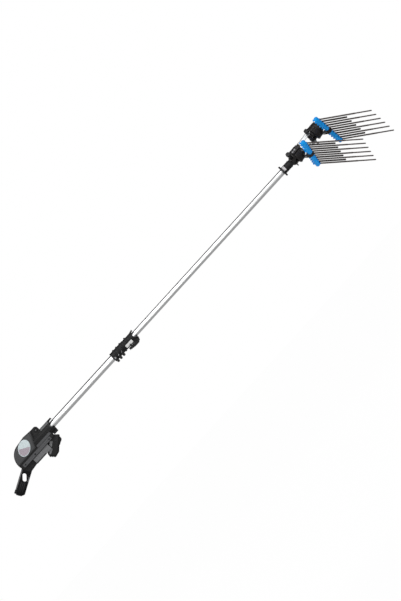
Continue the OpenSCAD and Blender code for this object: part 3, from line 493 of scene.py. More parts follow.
class Palette:
    """All finishes as materials, by slot and by trim."""

    def __init__(self) -> None:
        """Builds every material once."""
        groups = EffectGroups()
        self._made: dict[str | Trim, bpy.types.Material] = {}
        for finish in FINISHES:
            self._made[finish.slot] = finish.material(groups, finish.slot)
        for trim in Trim:
            self._made[trim] = trim.value.material(groups, trim.name.lower())

    def of(self, look: str | Trim) -> bpy.types.Material:
        """Gives the material of a slot or a trim."""
        return self._made[look]


@dataclass(frozen=True)
class ScrewHead:
    """Rounded edge and round driver recess of flat screw heads."""

    edge: float
    rim: float
    depth: float
    least_area: float
    taper: float = 0.1 * MM
    least_sides: int = 11


class Frame:
    """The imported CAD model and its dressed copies."""

    def __init__(self, palette: Palette) -> None:
        """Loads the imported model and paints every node.

        Args:
            palette: The finishes.
        """
        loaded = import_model()
        self.palette = palette
        self.nodes: dict[str, Piece] = loaded["nodes"]
        self.slots = {s["node"]: s["material_slot"] for s in loaded["record"]["subparts"]}
        self.size_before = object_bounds()
        self.dressed: dict[str, Piece] = {}
        for name, node in self.nodes.items():
            node.data.materials.clear()
            node.data.materials.append(palette.of(self.slots[name]))

    def body(self, node: str) -> str:
        """Gives the CAD body that a node belongs to."""
        return self.nodes[node]["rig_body"]

    def soften(
        self, node: str, width: float, head: ScrewHead | None = None, trim: Trim | None = None
    ) -> None:
        """Shows a copy of a CAD node with rounded edges and smooth curves.

        Args:
            node: The CAD node, which the copy stands for.
            width: Edge rounding in metres.
            head: Driver recess for the node's flat round heads.
            trim: A finish of its own, the slot's if left out.
        """
        copy = bpy.data.objects.new(f"{node}_dressed", self.nodes[node].data.copy())
        bpy.context.scene.collection.objects.link(copy)
        with editing(copy) as mesh:
            mesh.remove_doubles(threshold=MERGE_GAP)
            mesh.dissolve_limited(angle_limit=math.radians(FLAT_ANGLE))
        round_edges(copy, width, CAD_EDGE_ANGLE, miter_outer="MITER_ARC")
        if head is not None:
            self._sink(copy, head)
        smooth(copy)
        if trim is not None:
            copy.data.materials.clear()
            copy.data.materials.append(self.palette.of(trim))
        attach(copy, self.body(node))
        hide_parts(node)
        self.dressed[node] = copy
        LOG.info("dressed %s", node)

    def soften_all(self, edges: Edges, index: int = 0) -> None:
        """Softens several nodes.

        Args:
            edges: Each node's name or name pattern, with its edge rounding in millimetres.
            index: The number that goes into a name pattern.
        """
        for pattern, width in edges:
            self.soften(pattern.format(index), width * MM)

    def fasten(self, node: str, head: ScrewHead, trim: Trim) -> None:
        """Softens a node of screws and sinks their driver recesses."""
        self.soften(node, head.edge, head, trim)

    @staticmethod
    def _sink(obj: Piece, head: ScrewHead) -> None:
        """Sinks a driver recess into every large flat many-sided face.

        Args:
            obj: The dressed screws.
            head: The sizes of the recess.
        """
        select_only(obj)
        bpy.ops.object.mode_set(mode="EDIT")
        bpy.ops.mesh.select_mode(type="FACE")
        bpy.ops.mesh.select_all(action="DESELECT")
        bpy.ops.object.mode_set(mode="OBJECT")
        for face in obj.data.polygons:
            many_sided = len(face.vertices) >= head.least_sides
            face.select = many_sided and face.area > head.least_area
        bpy.ops.object.mode_set(mode="EDIT")
        bpy.ops.mesh.inset(thickness=head.rim, use_individual=True)
        bpy.ops.mesh.inset(thickness=head.taper, depth=-head.depth, use_individual=True)
        bpy.ops.object.mode_set(mode="OBJECT")

    def repaint(
        self, node: str, chosen: Callable[[bpy.types.MeshPolygon], bool], look: str | Trim
    ) -> None:
        """Gives some faces of a dressed node another finish.

        Args:
            node: The CAD node, dressed before.
            chosen: Tells whether a face gets the finish.
            look: The slot or trim of the finish.
        """
        mesh = self.dressed[node].data
        mesh.materials.append(self.palette.of(look))
        for face in mesh.polygons:
            if chosen(face):
                face.material_index = len(mesh.materials) - 1

    def coat(self, node: str, plane: Matrix, look: str | Trim) -> None:
        """Parts a dressed node along a plane and gives what lies behind it another finish.

        Args:
            node: The CAD node, dressed before.
            plane: Place whose X axis stands on the plane and points away from the coat.
            look: The slot or trim of the coat.
        """
        piece = self.dressed[node]
        with editing(piece) as mesh:
            mesh.bisect(plane_co=plane.translation, plane_no=plane.to_3x3().col[0])
        back = plane.inverted()
        self.repaint(node, lambda face: (back @ face.center).x < 0, look)
        smooth(piece)

    def add(self, obj: Piece, body: str, look: str | Trim) -> None:
        """Fixes a new piece to a CAD body and paints it.

        Args:
            obj: The finished mesh, already in place.
            body: The CAD body it moves with.
            look: The slot or trim of its finish.
        """
        obj.data.materials.clear()
        obj.data.materials.append(self.palette.of(look))
        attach(obj, body)
        LOG.info("added %s", obj.name)


class Bench:
    """Small pieces modelled from primitives, standing on their own X-Y plane."""

    # Rounding of a curved plate's rims, as a share of its thickness.
    ARC_EDGE = 0.3

    @staticmethod
    def disc(
        name: str, radius: float, height: float, edge: float = 0.0, sides: int = ROUND_SIDES
    ) -> Piece:
        """Models a round disc.

        Args:
            name: The piece's name.
            radius: Its radius.
            height: Its height above the plane.
            edge: Rounding of its rims, none if left out.
            sides: Sides of the circle.

        Returns:
            The disc.
        """
        bpy.ops.object.select_all(action="DESELECT")
        bpy.ops.mesh.primitive_cylinder_add(vertices=sides, radius=radius, depth=height)
        disc = bpy.context.active_object
        disc.name = name
        with editing(disc):
            bpy.ops.transform.translate(value=(0.0, 0.0, height / 2))
        if edge > 0:
            round_edges(disc, edge)
        smooth(disc)
        return disc

    @staticmethod
    def band(name: str, radii: Span, length: float, edge: float) -> Piece:
        """Models a ring-shaped band round the Z axis, from the plane up.

        Args:
            name: The piece's name.
            radii: Its inner and outer radius.
            length: Its length along Z.
            edge: Rounding of its rims.

        Returns:
            The band.
        """
        inner, outer = radii
        bpy.ops.object.select_all(action="DESELECT")
        bpy.ops.mesh.primitive_cylinder_add(
            vertices=BAND_SIDES, radius=outer, depth=length, end_fill_type="NOTHING"
        )
        band = bpy.context.active_object
        band.name = name
        with editing(band):
            bpy.ops.transform.translate(value=(0.0, 0.0, length / 2))
        apply_modifier(band, "SOLIDIFY", thickness=outer - inner, offset=-1.0)
        round_edges(band, edge)
        smooth(band)
        return band

    @classmethod
    def wrap(cls, name: str, radii: Span, reach: Span, turns: Span) -> Piece:
        """Models a curved plate and lays it round the pole.

        Args:
            name: The piece's name.
            radii: Its inner and outer radius.
            reach: Where it starts and ends along the pole.
            turns: Where it starts and ends round the pole, less than half a turn on, in
                degrees from below towards the right side.

        Returns:
            The plate, in place.
        """
        inner, outer = radii
        rear, front = reach
        plate = cls.band(name, radii, front - rear, (outer - inner) * cls.ARC_EDGE)
        for turn in (turns[0] + 90.0, turns[1] - 90.0):
            angle = math.radians(turn)
            cut(plate, Vector((math.cos(angle), math.sin(angle), 0.0)))
        smooth(plate)
        settle(plate, moved(rear) @ ALONG_X)
        return plate

    @staticmethod
    def bar(name: str, low: Triple, high: Triple, edge: float) -> Piece:
        """Models a bar between two corners with rounded edges.

        Args:
            name: The piece's name.
            low: Its lowest corner.
            high: Its highest corner.
            edge: Rounding of its edges.

        Returns:
            The bar.
        """
        bpy.ops.object.select_all(action="DESELECT")
        bpy.ops.mesh.primitive_cube_add(size=1.0)
        bar = bpy.context.active_object
        bar.name = name
        with editing(bar):
            bpy.ops.transform.resize(value=tuple(Vector(high) - Vector(low)))
            bpy.ops.transform.translate(value=tuple((Vector(high) + Vector(low)) / 2))
        round_edges(bar, edge)
        smooth(bar)
        return bar


@dataclass
class CoverOval:
    """Plain two-tone oval let into the grey side covers."""

    frame: Frame
    center_x: float = -197.5 * MM
    center_z: float = 21.5 * MM
    half_long: float = 38.5 * MM
    half_short: float = 27.5 * MM
    turn: float = 35.5
    rim_height: float = 0.7 * MM
    field_height: float = 1.05 * MM
    border: float = 2.2 * MM
    rounding: float = 0.4
    split_turn: float = -23.0
    sides: int = 96

    def build(self) -> None:
        """Makes the oval's rim and its two fields on both covers."""
        inner = 1.0 - self.border / self.half_short
        for tag, side in SIDES:
            low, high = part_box(f"side_cover_{tag}")
            place = self._place(high.y if side > 0 else low.y, side)
            rim = self._disc(f"oval_rim_{tag}", 1.0, self.rim_height)
            upper = self._half(f"oval_upper_{tag}", inner, True)
            lower = self._half(f"oval_lower_{tag}", inner, False)
            for piece in (rim, upper, lower):
                settle(piece, place)
            self.frame.add(rim, HANDLE, Trim.OVAL_PALE)
            self.frame.add(upper, HANDLE, Trim.OVAL_PALE)
            self.frame.add(lower, HANDLE, Trim.OVAL_DUSK)

    def _disc(self, name: str, share: float, height: float) -> Piece:
        """Models one flat oval with a rounded rim.

        Args:
            name: The piece's name.
            share: Its size as a share of the whole oval.
            height: Its thickness.

        Returns:
            The oval in its own X-Y plane.
        """
        disc = Bench.disc(name, 1.0, height, sides=self.sides)
        with editing(disc):
            bpy.ops.transform.resize(value=(self.half_long * share, self.half_short * share, 1.0))
        round_edges(disc, height * self.rounding)
        smooth(disc)
        return disc

    def _half(self, name: str, share: float, upper: bool) -> Piece:
        """Models one side of the field, cut along the slanted divide.

        Args:
            name: The piece's name.
            share: Its size as a share of the whole oval.
            upper: Whether it is the side above the divide.

        Returns:
            The part of the oval in its own X-Y plane.
        """
        piece = self._disc(name, share, self.field_height)
        lean = math.radians(self.split_turn)
        across = Vector((math.cos(lean), -math.sin(lean), 0.0))
        cut(piece, across if upper else -across)
        smooth(piece)
        return piece

    def _place(self, outer: float, side: float) -> Matrix:
        """Gives the place of an oval on a cover.

        Args:
            outer: The cover's outer face along Y.
            side: -1 for the left cover, 1 for the right.

        Returns:
            The matrix that takes the oval there.
        """
        stand, lean = rotated(90.0, "X"), rotated(-self.turn, "Y")
        if side > 0:
            stand, lean = rotated(180.0, "Z") @ stand, rotated(180.0 - self.turn, "Y")
        return moved(self.center_x, outer, self.center_z) @ lean @ stand


@dataclass
class Handle:
    """Handle shells, covers, rails, grip and tail, with their small trim."""

    frame: Frame
    edges: Edges = (
        ("handle_shell_left", 1.8),
        ("handle_shell_right", 1.8),
        ("side_cover_left", 1.5),
        ("side_cover_right", 1.5),
        ("side_rail_left", 0.6),
        ("side_rail_right", 0.6),
        ("bottom_panel", 0.8),
        ("grip_pads", 0.5),
        ("power_inlet", 0.5),
        ("tail_cap", 0.8),
        ("button_bezel", 0.6),
        ("trigger", 1.0),
        ("mode_button", 0.8),
    )
    screw_head: ScrewHead = ScrewHead(0.4 * MM, 1.5 * MM, 1.2 * MM, 30e-6)
    bolt_head: ScrewHead = ScrewHead(0.5 * MM, 1.8 * MM, 1.6 * MM, 40e-6)
    # The tail's own X runs from its root to its end, its own Z points down.
    tail_x: float = -266 * MM
    tail_z: float = -54 * MM
    tail_turn: float = 154.4
    tail_half_width: float = 17 * MM
    inlet_mouth: float = 119 * MM
    inlet_offset: float = -6 * MM
    pin_count: int = 3
    pin_radius: float = 0.9 * MM
    pin_length: float = 9 * MM
    pin_edge: float = 0.3 * MM
    pin_sides: int = 20
    pin_circle: float = 2.9 * MM
    pin_setback: float = 14 * MM
    grip_half_width: float = 18 * MM
    grip_screw_x: float = -77 * MM
    grip_screw_z: float = -60 * MM
    grip_screw_radius: float = 2.4 * MM
    grip_screw_height: float = 0.3 * MM
    grip_screw_edge: float = 0.12 * MM
    grip_ring_radius: float = 4.4 * MM
    grip_ring_height: float = 0.6 * MM
    grip_ring_edge: float = 0.2 * MM
    # Size and depth of the painted glint in the mode button's dish.
    spot_radius: float = 2.6 * MM
    spot_height: float = 0.5 * MM
    spot_edge: float = 0.2 * MM
    spot_depth: float = 1.35 * MM
    strip_height: float = 0.6 * MM
    strip_sink: float = 0.1 * MM
    strip_edge: float = 0.3 * MM
    sleeve_radius: float = 29 * MM
    # Where the painted highlight lies along the sleeve and round it.
    sleeve_strip_x: Span = (-90 * MM, -41 * MM)
    sleeve_strip_turn: Span = (127.0, 156.0)
    # Where the painted highlights lie on the tail's chamfers.
    tail_strip_x: Span = (4 * MM, 96 * MM)
    tail_strip_lean: float = -135.0
    tail_patch_x: Span = (24 * MM, 47 * MM)
    tail_patch_lean: float = -45.0
    tail_strip_half: float = 3.7 * MM
    tail_chamfer_y: float = 14 * MM
    tail_chamfer_z: float = 20.5 * MM
    tail_rib_x: Span = (56 * MM, 100 * MM)
    tail_rib_z: Triple = (-6 * MM, 2 * MM, 10 * MM)
    tail_rib_half: float = 1.4 * MM
    rib_edge: float = 0.4 * MM
    panel_edge_height: float = 5.0 * MM
    panel_edge_drop: float = 0.3 * MM
    panel_edge_rear: float = 0.6 * MM
    panel_edge_front: float = 34 * MM
    bumper_low: Triple = (97 * MM, -13.5 * MM, -24.4 * MM)
    bumper_high: Triple = (114.5 * MM, 13.5 * MM, -13 * MM)
    bumper_edge: float = 2.4 * MM

    @property
    def tail_place(self) -> Matrix:
        """Place of the tail's root."""
        return moved(self.tail_x, 0.0, self.tail_z) @ rotated(self.tail_turn, "Y")

    def dress(self) -> None:
        """Dresses the CAD nodes and adds the trim."""
        self.frame.soften_all(self.edges)
        self.frame.fasten("shell_screws", self.screw_head, Trim.SCREW_DARK)
        self.frame.fasten("pinch_bolt", self.bolt_head, Trim.SCREW_DARK)
        # The tail's part of both shells gets the darker black, as painted shade.
        tail_root = self.tail_place @ rotated(180.0, "Z")
        for tag, _ in SIDES:
            self.frame.coat(f"handle_shell_{tag}", tail_root, Trim.TAIL_BLACK)
        CoverOval(self.frame).build()
        self._inlet_pins()
        self._grip_screws()
        self._button_spot()
        self._sleeve_strips()
        self._tail_strips()
        self._panel_edges()
        self._tail_bumper()
        self._tail_ribs()

    def _inlet_pins(self) -> None:
        """Stands contact pins in the bore of the power inlet."""
        for index in range(self.pin_count):
            turn = math.radians(360.0 / self.pin_count * index + 90.0)
            name, sides = f"inlet_pin_{index + 1}", self.pin_sides
            pin = Bench.disc(name, self.pin_radius, self.pin_length, self.pin_edge, sides)
            start = moved(
                self.inlet_mouth - self.pin_setback,
                self.pin_circle * math.cos(turn),
                self.inlet_offset + self.pin_circle * math.sin(turn),
            )
            settle(pin, self.tail_place @ start @ ALONG_X)
            self.frame.add(pin, HANDLE, "steel")

    def _grip_screws(self) -> None:
        """Sets a dark ring and a screw into both sides of the grip."""
        for tag, side in SIDES:
            spot = moved(self.grip_screw_x, side * self.grip_half_width, self.grip_screw_z)
            ring = Bench.band(
                f"grip_screw_ring_{tag}",
                (self.grip_screw_radius, self.grip_ring_radius),
                self.grip_ring_height,
                self.grip_ring_edge,
            )
            head = Bench.disc(
                f"grip_screw_{tag}",
                self.grip_screw_radius,
                self.grip_screw_height,
                self.grip_screw_edge,
            )
            for piece in (ring, head):
                settle(piece, spot @ rotated(-90.0 * side, "X"))
            self.frame.add(ring, HANDLE, "button_black")
            self.frame.add(head, HANDLE, Trim.SCREW_DARK)

    def _button_spot(self) -> None:
        """Puts a pale dot in the dish of the mode button, as a painted glint."""
        low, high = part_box("mode_button")
        spot = Bench.disc("button_spot", self.spot_radius, self.spot_height, self.spot_edge)
        place = moved((low.x + high.x) / 2, low.y + self.spot_depth, (low.z + high.z) / 2)
        settle(spot, place @ rotated(90.0, "X"))
        self.frame.add(spot, self.frame.body("mode_button"), "panel_light")

    def _sleeve_strips(self) -> None:
        """Lays a pale grey strip along both upper flanks of the sleeve, as a painted highlight."""
        radii = (self.sleeve_radius - self.strip_sink, self.sleeve_radius + self.strip_height)
        for tag, turns in both_flanks(self.sleeve_strip_turn):
            strip = Bench.wrap(f"sleeve_strip_{tag}", radii, self.sleeve_strip_x, turns)
            self.frame.add(strip, HANDLE, Trim.STRIP_GREY)

    def _tail_strips(self) -> None:
        """Lays pale strips as painted highlights on the tail's upper edges and below its hole."""
        half, lift = self.tail_strip_half, self.strip_height
        for tag, side in SIDES:
            for name, (start, end), down, lean in (
                (f"tail_strip_{tag}", self.tail_strip_x, -1.0, self.tail_strip_lean),
                (f"tail_patch_{tag}", self.tail_patch_x, 1.0, self.tail_patch_lean),
            ):
                strip = Bench.bar(name, (start, -half, -lift), (end, half, lift), self.strip_edge)
                spot = moved(0.0, side * self.tail_chamfer_y, down * self.tail_chamfer_z)
                settle(strip, self.tail_place @ spot @ rotated(lean * side, "X"))
                self.frame.add(strip, HANDLE, Trim.STRIP_GREY)

    def _panel_edges(self) -> None:
        """Runs a black rubbing strip along both lower edges of the bottom panel."""
        low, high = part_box("bottom_panel")
        rear, front = low.x + self.panel_edge_rear, high.x - self.panel_edge_front
        foot, top = low.z - self.panel_edge_drop, low.z + self.panel_edge_height
        for tag, face in (("left", low.y), ("right", high.y)):
            strip = Bench.bar(
                f"panel_edge_{tag}",
                (rear, face - self.strip_height, foot),
                (front, face + self.strip_height, top),
                self.rib_edge,
            )
            self.frame.add(strip, HANDLE, "shell_black")

    def _tail_bumper(self) -> None:
        """Squares the upper corner of the tail with a rubber bumper."""
        bumper = Bench.bar("tail_bumper", self.bumper_low, self.bumper_high, self.bumper_edge)
        settle(bumper, self.tail_place)
        self.frame.add(bumper, HANDLE, "button_black")

    def _tail_ribs(self) -> None:
        """Runs low ribs along both faces of the tail, behind its hole."""
        start, end = self.tail_rib_x
        lift, half = self.strip_height, self.tail_rib_half
        for tag, side in SIDES:
            first = Bench.bar(
                f"tail_ribs_{tag}", (start, -lift, -half), (end, lift, half), self.rib_edge
            )
            more = range(1, len(self.tail_rib_z))
            ribs = [first] + [duplicate(first, f"tail_rib_{tag}_{number}") for number in more]
            for rib, height in zip(ribs, self.tail_rib_z):
                settle(rib, self.tail_place @ moved(0.0, side * self.tail_half_width, height))
            self.frame.add(join(*ribs), HANDLE, "button_black")


@dataclass
class Pole:
    """Both tubes, the lock clamp between them and its lever."""

    frame: Frame
    edges: Edges = (
        ("lower_tube", 0.2),
        ("upper_tube", 0.2),
        ("lock_clamp", 0.8),
        ("lock_lever", 0.8),
    )
    screw_head: ScrewHead = ScrewHead(0.5 * MM, 1.9 * MM, 1.5 * MM, 40e-6)
    pin_edge: float = 0.3 * MM
    window_x: Span = (446.5 * MM, 487.5 * MM)
    window_turn: Span = (280.0, 321.0)
    window_inner: float = 20.0 * MM
    window_outer: float = 23.3 * MM
    bezel_rim: float = 2.2 * MM
    bezel_turn: float = 5.0
    bezel_outer: float = 23.0 * MM
    mouth_start: float = 488 * MM
    mouth_facing: float = 0.35

    def dress(self) -> None:
        """Dresses the CAD nodes, with a pale painted highlight on the rim of the clamp's mouth."""
        self.frame.soften_all(self.edges)
        # Mouth faces turned towards the combs take a painted highlight.
        self.frame.repaint("lock_clamp", self._on_mouth, Trim.STRIP_GREY)
        self.frame.fasten("lock_screws", self.screw_head, Trim.SCREW_GREY)
        self.frame.soften("lever_pin", self.pin_edge, trim=Trim.SCREW_DARK)
        self._window()

    def _on_mouth(self, face: bpy.types.MeshPolygon) -> bool:
        """Tells whether a face of the clamp's mouth gets the painted highlight."""
        return face.center.x > self.mouth_start and face.normal.x > self.mouth_facing

    def _window(self) -> None:
        """Sets a white sight window with a black frame into the clamp."""
        rear, front = self.window_x
        low, high = self.window_turn
        bezel = Bench.wrap(
            "lock_bezel",
            (self.window_inner, self.bezel_outer),
            (rear - self.bezel_rim, front + self.bezel_rim),
            (low - self.bezel_turn, high + self.bezel_turn),
        )
        self.frame.add(bezel, self.frame.body("lock_clamp"), "drum_black")
        radii = (self.window_inner, self.window_outer)
        pane = Bench.wrap("lock_window", radii, self.window_x, self.window_turn)
        self.frame.add(pane, self.frame.body("lock_clamp"), Trim.WINDOW_WHITE)


@dataclass
class Neck:
    """Neck socket on the upper tube with its silver plates."""

    frame: Frame
    socket_edge: float = 0.9 * MM
    screw_head: ScrewHead = ScrewHead(0.4 * MM, 1.3 * MM, 1.0 * MM, 25e-6)
    neck_radius: float = 17.5 * MM
    plate_x: Span = (1508.5 * MM, 1523 * MM)
    plate_turn: Span = (72.0, 146.0)
    plate_height: float = 0.6 * MM
    plate_sink: float = 0.05 * MM

    def dress(self) -> None:
        """Dresses the neck and lays a plate on each side of it."""
        self.frame.soften("neck_socket", self.socket_edge)
        self.frame.fasten("neck_screws", self.screw_head, Trim.SCREW_DARK)
        radii = (self.neck_radius - self.plate_sink, self.neck_radius + self.plate_height)
        for tag, turns in both_flanks(self.plate_turn):
            plate = Bench.wrap(f"neck_plate_{tag}", radii, self.plate_x, turns)
            self.frame.add(plate, self.frame.body("neck_socket"), Trim.PLATE_SILVER)


@dataclass
class Head:
    """One comb head: drum, front cover, tilt bolt and knob."""

    frame: Frame
    index: int
    edges: Edges = (
        ("head{}_drum", 0.8),
        ("head{}_front_cover", 0.8),
        ("tilt_bolt_{}", 0.6),
        ("tilt_knob_{}", 0.8),
    )
    screw_head: ScrewHead = ScrewHead(0.4 * MM, 1.3 * MM, 1.1 * MM, 25e-6)

    def dress(self) -> None:
        """Dresses the CAD nodes of this head."""
        self.frame.soften_all(self.edges, self.index)
        self.frame.fasten(f"head{self.index}_cover_screws", self.screw_head, Trim.SCREW_GREY)


@dataclass(frozen=True)
class PoleEnd:
    """The twisted end of the pole, where the first head tilts on its bolt."""

    twist: float = -33.0
    bolt_x: float = 1574 * MM
    tilt: float = -5.5

    def head_place(self) -> Matrix:
        """Gives the place of the first head at rest."""
        return rotated(self.twist, "X") @ moved(self.bolt_x) @ rotated(self.tilt, "Y")


@dataclass
class Link:
    """Plates, spacers and screws that carry the second head."""

    frame: Frame
    edges: Edges = (("link_plates", 0.5), ("link_spacers", 0.3))
    screw_head: ScrewHead = ScrewHead(0.4 * MM, 1.8 * MM, 1.4 * MM, 40e-6)
    pole_end: PoleEnd = PoleEnd()
    coat_end: float = 68 * MM

    def dress(self) -> None:
        """Dresses the CAD nodes and coats the roots of the plates."""
        self.frame.soften_all(self.edges)
        self.frame.fasten("link_screws", self.screw_head, Trim.SCREW_GREY)
        edge = self.pole_end.head_place() @ moved(self.coat_end)
        self.frame.coat("link_plates", edge, "drum_black")


@dataclass(frozen=True)
class Sleeves:
    """Equal sleeves on some rods of a comb."""

    name: str
    reach: Span
    outer: float
    rods: range
    look: str | Trim


@dataclass
class Comb:
    """One comb: yoke, two bars and its rods with their sleeves."""

    frame: Frame
    index: int
    edges: Edges = (
        ("comb{}_yoke", 0.8),
        ("comb{}_bar_left", 0.6),
        ("comb{}_bar_right", 0.6),
        ("comb{}_rods_long", 1.6),
        ("comb{}_rods_short", 1.6),
    )
    pole_end: PoleEnd = PoleEnd()
    link_length: float = 133 * MM
    pivot_x: float = 57 * MM
    pivot_z: float = -34 * MM
    pivot_lean: float = 52.5
    swing_rest: float = 6.0
    rod_pitch: float = 22 * MM
    sleeve_inner: float = 2.55 * MM
    sleeve_edge: float = 0.2 * MM
    sleeves: tuple[Sleeves, ...] = (
        Sleeves("sheaths", (35.3 * MM, 160.2 * MM), 4.0 * MM, SHORT_RODS, Trim.ROD_SHEATH),
        Sleeves("roots", (35.3 * MM, 212 * MM), 3.5 * MM, LONG_RODS, "rod_carbon"),
        Sleeves("tips", (211.5 * MM, 292 * MM), 2.95 * MM, LONG_RODS, "rod_carbon"),
    )

    def dress(self) -> None:
        """Dresses the CAD nodes of this comb and sheathes its rods."""
        self.frame.soften_all(self.edges, self.index)
        for sleeves in self.sleeves:
            self._slip_on(sleeves)

    def _slip_on(self, spec: Sleeves) -> None:
        """Slips sleeves over rods of this comb, modelled once and copied.

        Args:
            spec: The sleeves.
        """
        start, end = spec.reach
        radii = (self.sleeve_inner, spec.outer)
        first = Bench.band(f"comb{self.index}_{spec.name}", radii, end - start, self.sleeve_edge)
        made = [first] + [duplicate(first, f"{spec.name}_{rod}") for rod in spec.rods[1:]]
        for rod, sleeve in zip(spec.rods, made):
            settle(sleeve, self._place() @ moved(start, rod * self.rod_pitch) @ ALONG_X)
        self.frame.add(join(*made), self.frame.body(f"comb{self.index}_rods_short"), spec.look)

    def _place(self) -> Matrix:
        """Gives the place of this comb at rest.

        Returns:
            The matrix whose X runs along the rods.
        """
        first = self.index == 1
        return (
            self.pole_end.head_place()
            @ moved(0.0 if first else self.link_length)
            @ (moved(self.pivot_x, 0.0, self.pivot_z) @ rotated(self.pivot_lean, "Y"))
            @ rotated(self.swing_rest if first else -self.swing_rest, "Z")
        )


@dataclass(frozen=True)
class Lamp:
    """One soft lamp of the studio."""

    name: str
    place: Triple
    aim: Triple
    size: Span
    power: float


@dataclass(frozen=True)
class Flag:
    """One grey card that only reflections show."""

    name: str
    low: Triple
    high: Triple
    grey: float


LAMPS = (
    Lamp("top_lamp", (0.3, -1.5, 2.3), (0.4, 0.0, 0.0), (5.0, 1.3), 44.0),
    Lamp("front_lamp", (0.6, -4.0, 0.8), (0.8, 0.0, -0.1), (2.4, 2.4), 28.0),
    Lamp("back_lamp", (0.9, 3.0, 1.4), (0.9, 0.0, 0.0), (2.0, 2.0), 22.0),
)
FLAGS = (
    Flag("flag_below", (-1.6, -0.86, -0.62), (3.4, 1.25, -0.60), 0.34),
    Flag("flag_behind", (-1.6, 1.60, 0.10), (3.4, 1.62, 3.30), 0.13),
    Flag("flag_above", (-1.6, -0.75, 3.30), (3.4, 1.62, 3.32), 0.13),
)


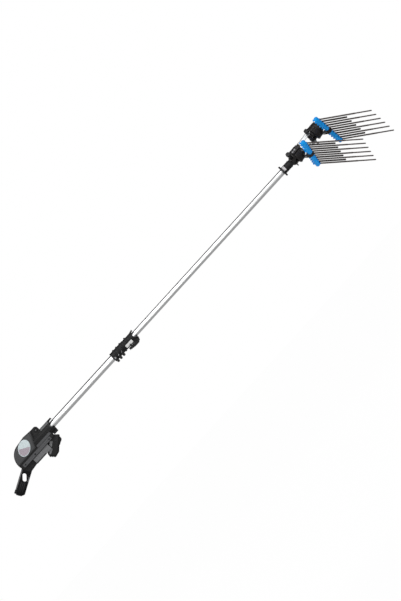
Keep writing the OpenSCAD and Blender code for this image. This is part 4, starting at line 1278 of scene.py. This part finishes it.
@dataclass
class Studio:
    """Pale floor, soft light and the camera at the photograph's angle."""

    lens: float = 200.0
    sensor: float = 36.0
    clip_reach: float = 4.0
    frame_height_px: float = 601.0
    mm_per_px: float = 4.5
    aim: Triple = (0.826, 0.0, -0.1171)
    pole_right: float = 0.6736
    pole_up: float = 0.7391
    fill_strength: float = 0.42
    floor_drop: float = 1.1
    floor_size: float = 40.0
    floor_grey: float = 0.9
    floor_roughness: float = 0.9
    camera_white: float = 0.985
    flag_edge: float = 2 * MM

    def build(self) -> None:
        """Makes the stage, the lamps and the camera."""
        self._world()
        self._floor()
        self._flags()
        self._lamps()
        self._camera()

    def _world(self) -> None:
        """Lights the scene evenly and shows white behind the tool."""
        world = bpy.data.worlds.new("studio")
        bpy.context.scene.world = world
        world.use_nodes = True
        nodes, links = world.node_tree.nodes, world.node_tree.links
        nodes.clear()
        path = nodes.new("ShaderNodeLightPath")
        seen, through = nodes.new("ShaderNodeMath"), nodes.new("ShaderNodeMath")
        seen.operation = through.operation = "MAXIMUM"
        fill, white = nodes.new("ShaderNodeBackground"), nodes.new("ShaderNodeBackground")
        for light, strength in ((fill, self.fill_strength), (white, 1.0)):
            light.inputs["Color"].default_value = (1.0, 1.0, 1.0, 1.0)
            light.inputs["Strength"].default_value = strength
        mix = nodes.new("ShaderNodeMixShader")
        out = nodes.new("ShaderNodeOutputWorld")
        links.new(path.outputs["Is Camera Ray"], seen.inputs[0])
        links.new(path.outputs["Is Glossy Ray"], seen.inputs[1])
        links.new(seen.outputs[0], through.inputs[0])
        links.new(path.outputs["Is Transmission Ray"], through.inputs[1])
        links.new(through.outputs[0], mix.inputs["Fac"])
        links.new(fill.outputs[0], mix.inputs[1])
        links.new(white.outputs[0], mix.inputs[2])
        links.new(mix.outputs[0], out.inputs["Surface"])

    def _floor(self) -> None:
        """Lays a pale floor well below the held tool."""
        bpy.ops.object.select_all(action="DESELECT")
        spot = (self.aim[0], 0.0, -self.floor_drop)
        bpy.ops.mesh.primitive_plane_add(size=self.floor_size, location=spot)
        floor = bpy.context.active_object
        floor.name = "floor"
        paint = bpy.data.materials.new("floor_white")
        paint.use_nodes = True
        nodes, links = paint.node_tree.nodes, paint.node_tree.links
        shader = nodes["Principled BSDF"]
        grey = self.floor_grey
        shader.inputs["Base Color"].default_value = (grey, grey, grey, 1.0)
        shader.inputs["Roughness"].default_value = self.floor_roughness
        glow = nodes.new("ShaderNodeEmission")
        glow.inputs["Strength"].default_value = 1.0
        path = nodes.new("ShaderNodeLightPath")
        share = nodes.new("ShaderNodeMath")
        share.operation = "MULTIPLY"
        share.inputs[1].default_value = self.camera_white
        mix = nodes.new("ShaderNodeMixShader")
        links.new(path.outputs["Is Camera Ray"], share.inputs[0])
        links.new(share.outputs[0], mix.inputs["Fac"])
        links.new(shader.outputs[0], mix.inputs[1])
        links.new(glow.outputs[0], mix.inputs[2])
        links.new(mix.outputs[0], nodes["Material Output"].inputs["Surface"])
        floor.data.materials.append(paint)
        floor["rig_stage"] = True

    def _flags(self) -> None:
        """Hangs grey cards that draw the shaded edges on the bright tubes."""
        for spec in FLAGS:
            card = bpy.data.materials.new(spec.name)
            card.use_nodes = True
            nodes, links = card.node_tree.nodes, card.node_tree.links
            glow = nodes.new("ShaderNodeEmission")
            glow.inputs["Color"].default_value = (spec.grey, spec.grey, spec.grey, 1.0)
            links.new(glow.outputs[0], nodes["Material Output"].inputs["Surface"])
            flag = Bench.bar(spec.name, spec.low, spec.high, self.flag_edge)
            flag.data.materials.append(card)
            flag.visible_camera = False
            flag.visible_diffuse = False
            flag.visible_shadow = False
            flag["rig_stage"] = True

    def _lamps(self) -> None:
        """Hangs the soft lamps."""
        for spec in LAMPS:
            lamp = bpy.data.lights.new(spec.name, "AREA")
            lamp.energy = spec.power
            lamp.shape = "RECTANGLE"
            lamp.size, lamp.size_y = spec.size
            holder = bpy.data.objects.new(spec.name, lamp)
            holder.location = spec.place
            toward = Vector(spec.aim) - Vector(spec.place)
            holder.rotation_euler = toward.to_track_quat("-Z", "Y").to_euler()
            bpy.context.scene.collection.objects.link(holder)

    def _camera(self) -> None:
        """Sets the camera square to the tool's left side, rolled with the pole."""
        distance = self.mm_per_px * MM * self.frame_height_px * self.lens / self.sensor
        lens = bpy.data.cameras.new("photo_camera")
        lens.lens = self.lens
        lens.sensor_width = self.sensor
        lens.clip_end = distance * self.clip_reach
        holder = bpy.data.objects.new("photo_camera", lens)
        right = Vector((self.pole_right, 0.0, -self.pole_up)).normalized()
        up = Vector((self.pole_up, 0.0, self.pole_right)).normalized()
        back = right.cross(up)
        basis = Matrix((right, up, back)).transposed()
        spot = Vector(self.aim) + back * distance
        holder.matrix_world = Matrix.Translation(spot) @ basis.to_4x4()
        bpy.context.scene.collection.objects.link(holder)
        bpy.context.scene.camera = holder
        bpy.context.scene.view_settings.view_transform = "Standard"


def main() -> None:
    """Builds the dressed harvester and its studio."""
    logging.basicConfig(level=logging.INFO, format="%(name)s: %(message)s")
    bpy.ops.object.select_all(action="SELECT")
    bpy.ops.object.delete()
    frame = Frame(Palette())
    upper = (Neck(frame), Head(frame, 1), Link(frame), Head(frame, 2))
    for group in (Handle(frame), Pole(frame), *upper, Comb(frame, 1), Comb(frame, 2)):
        group.dress()
    Studio().build()


if __name__ == "__main__":
    main()
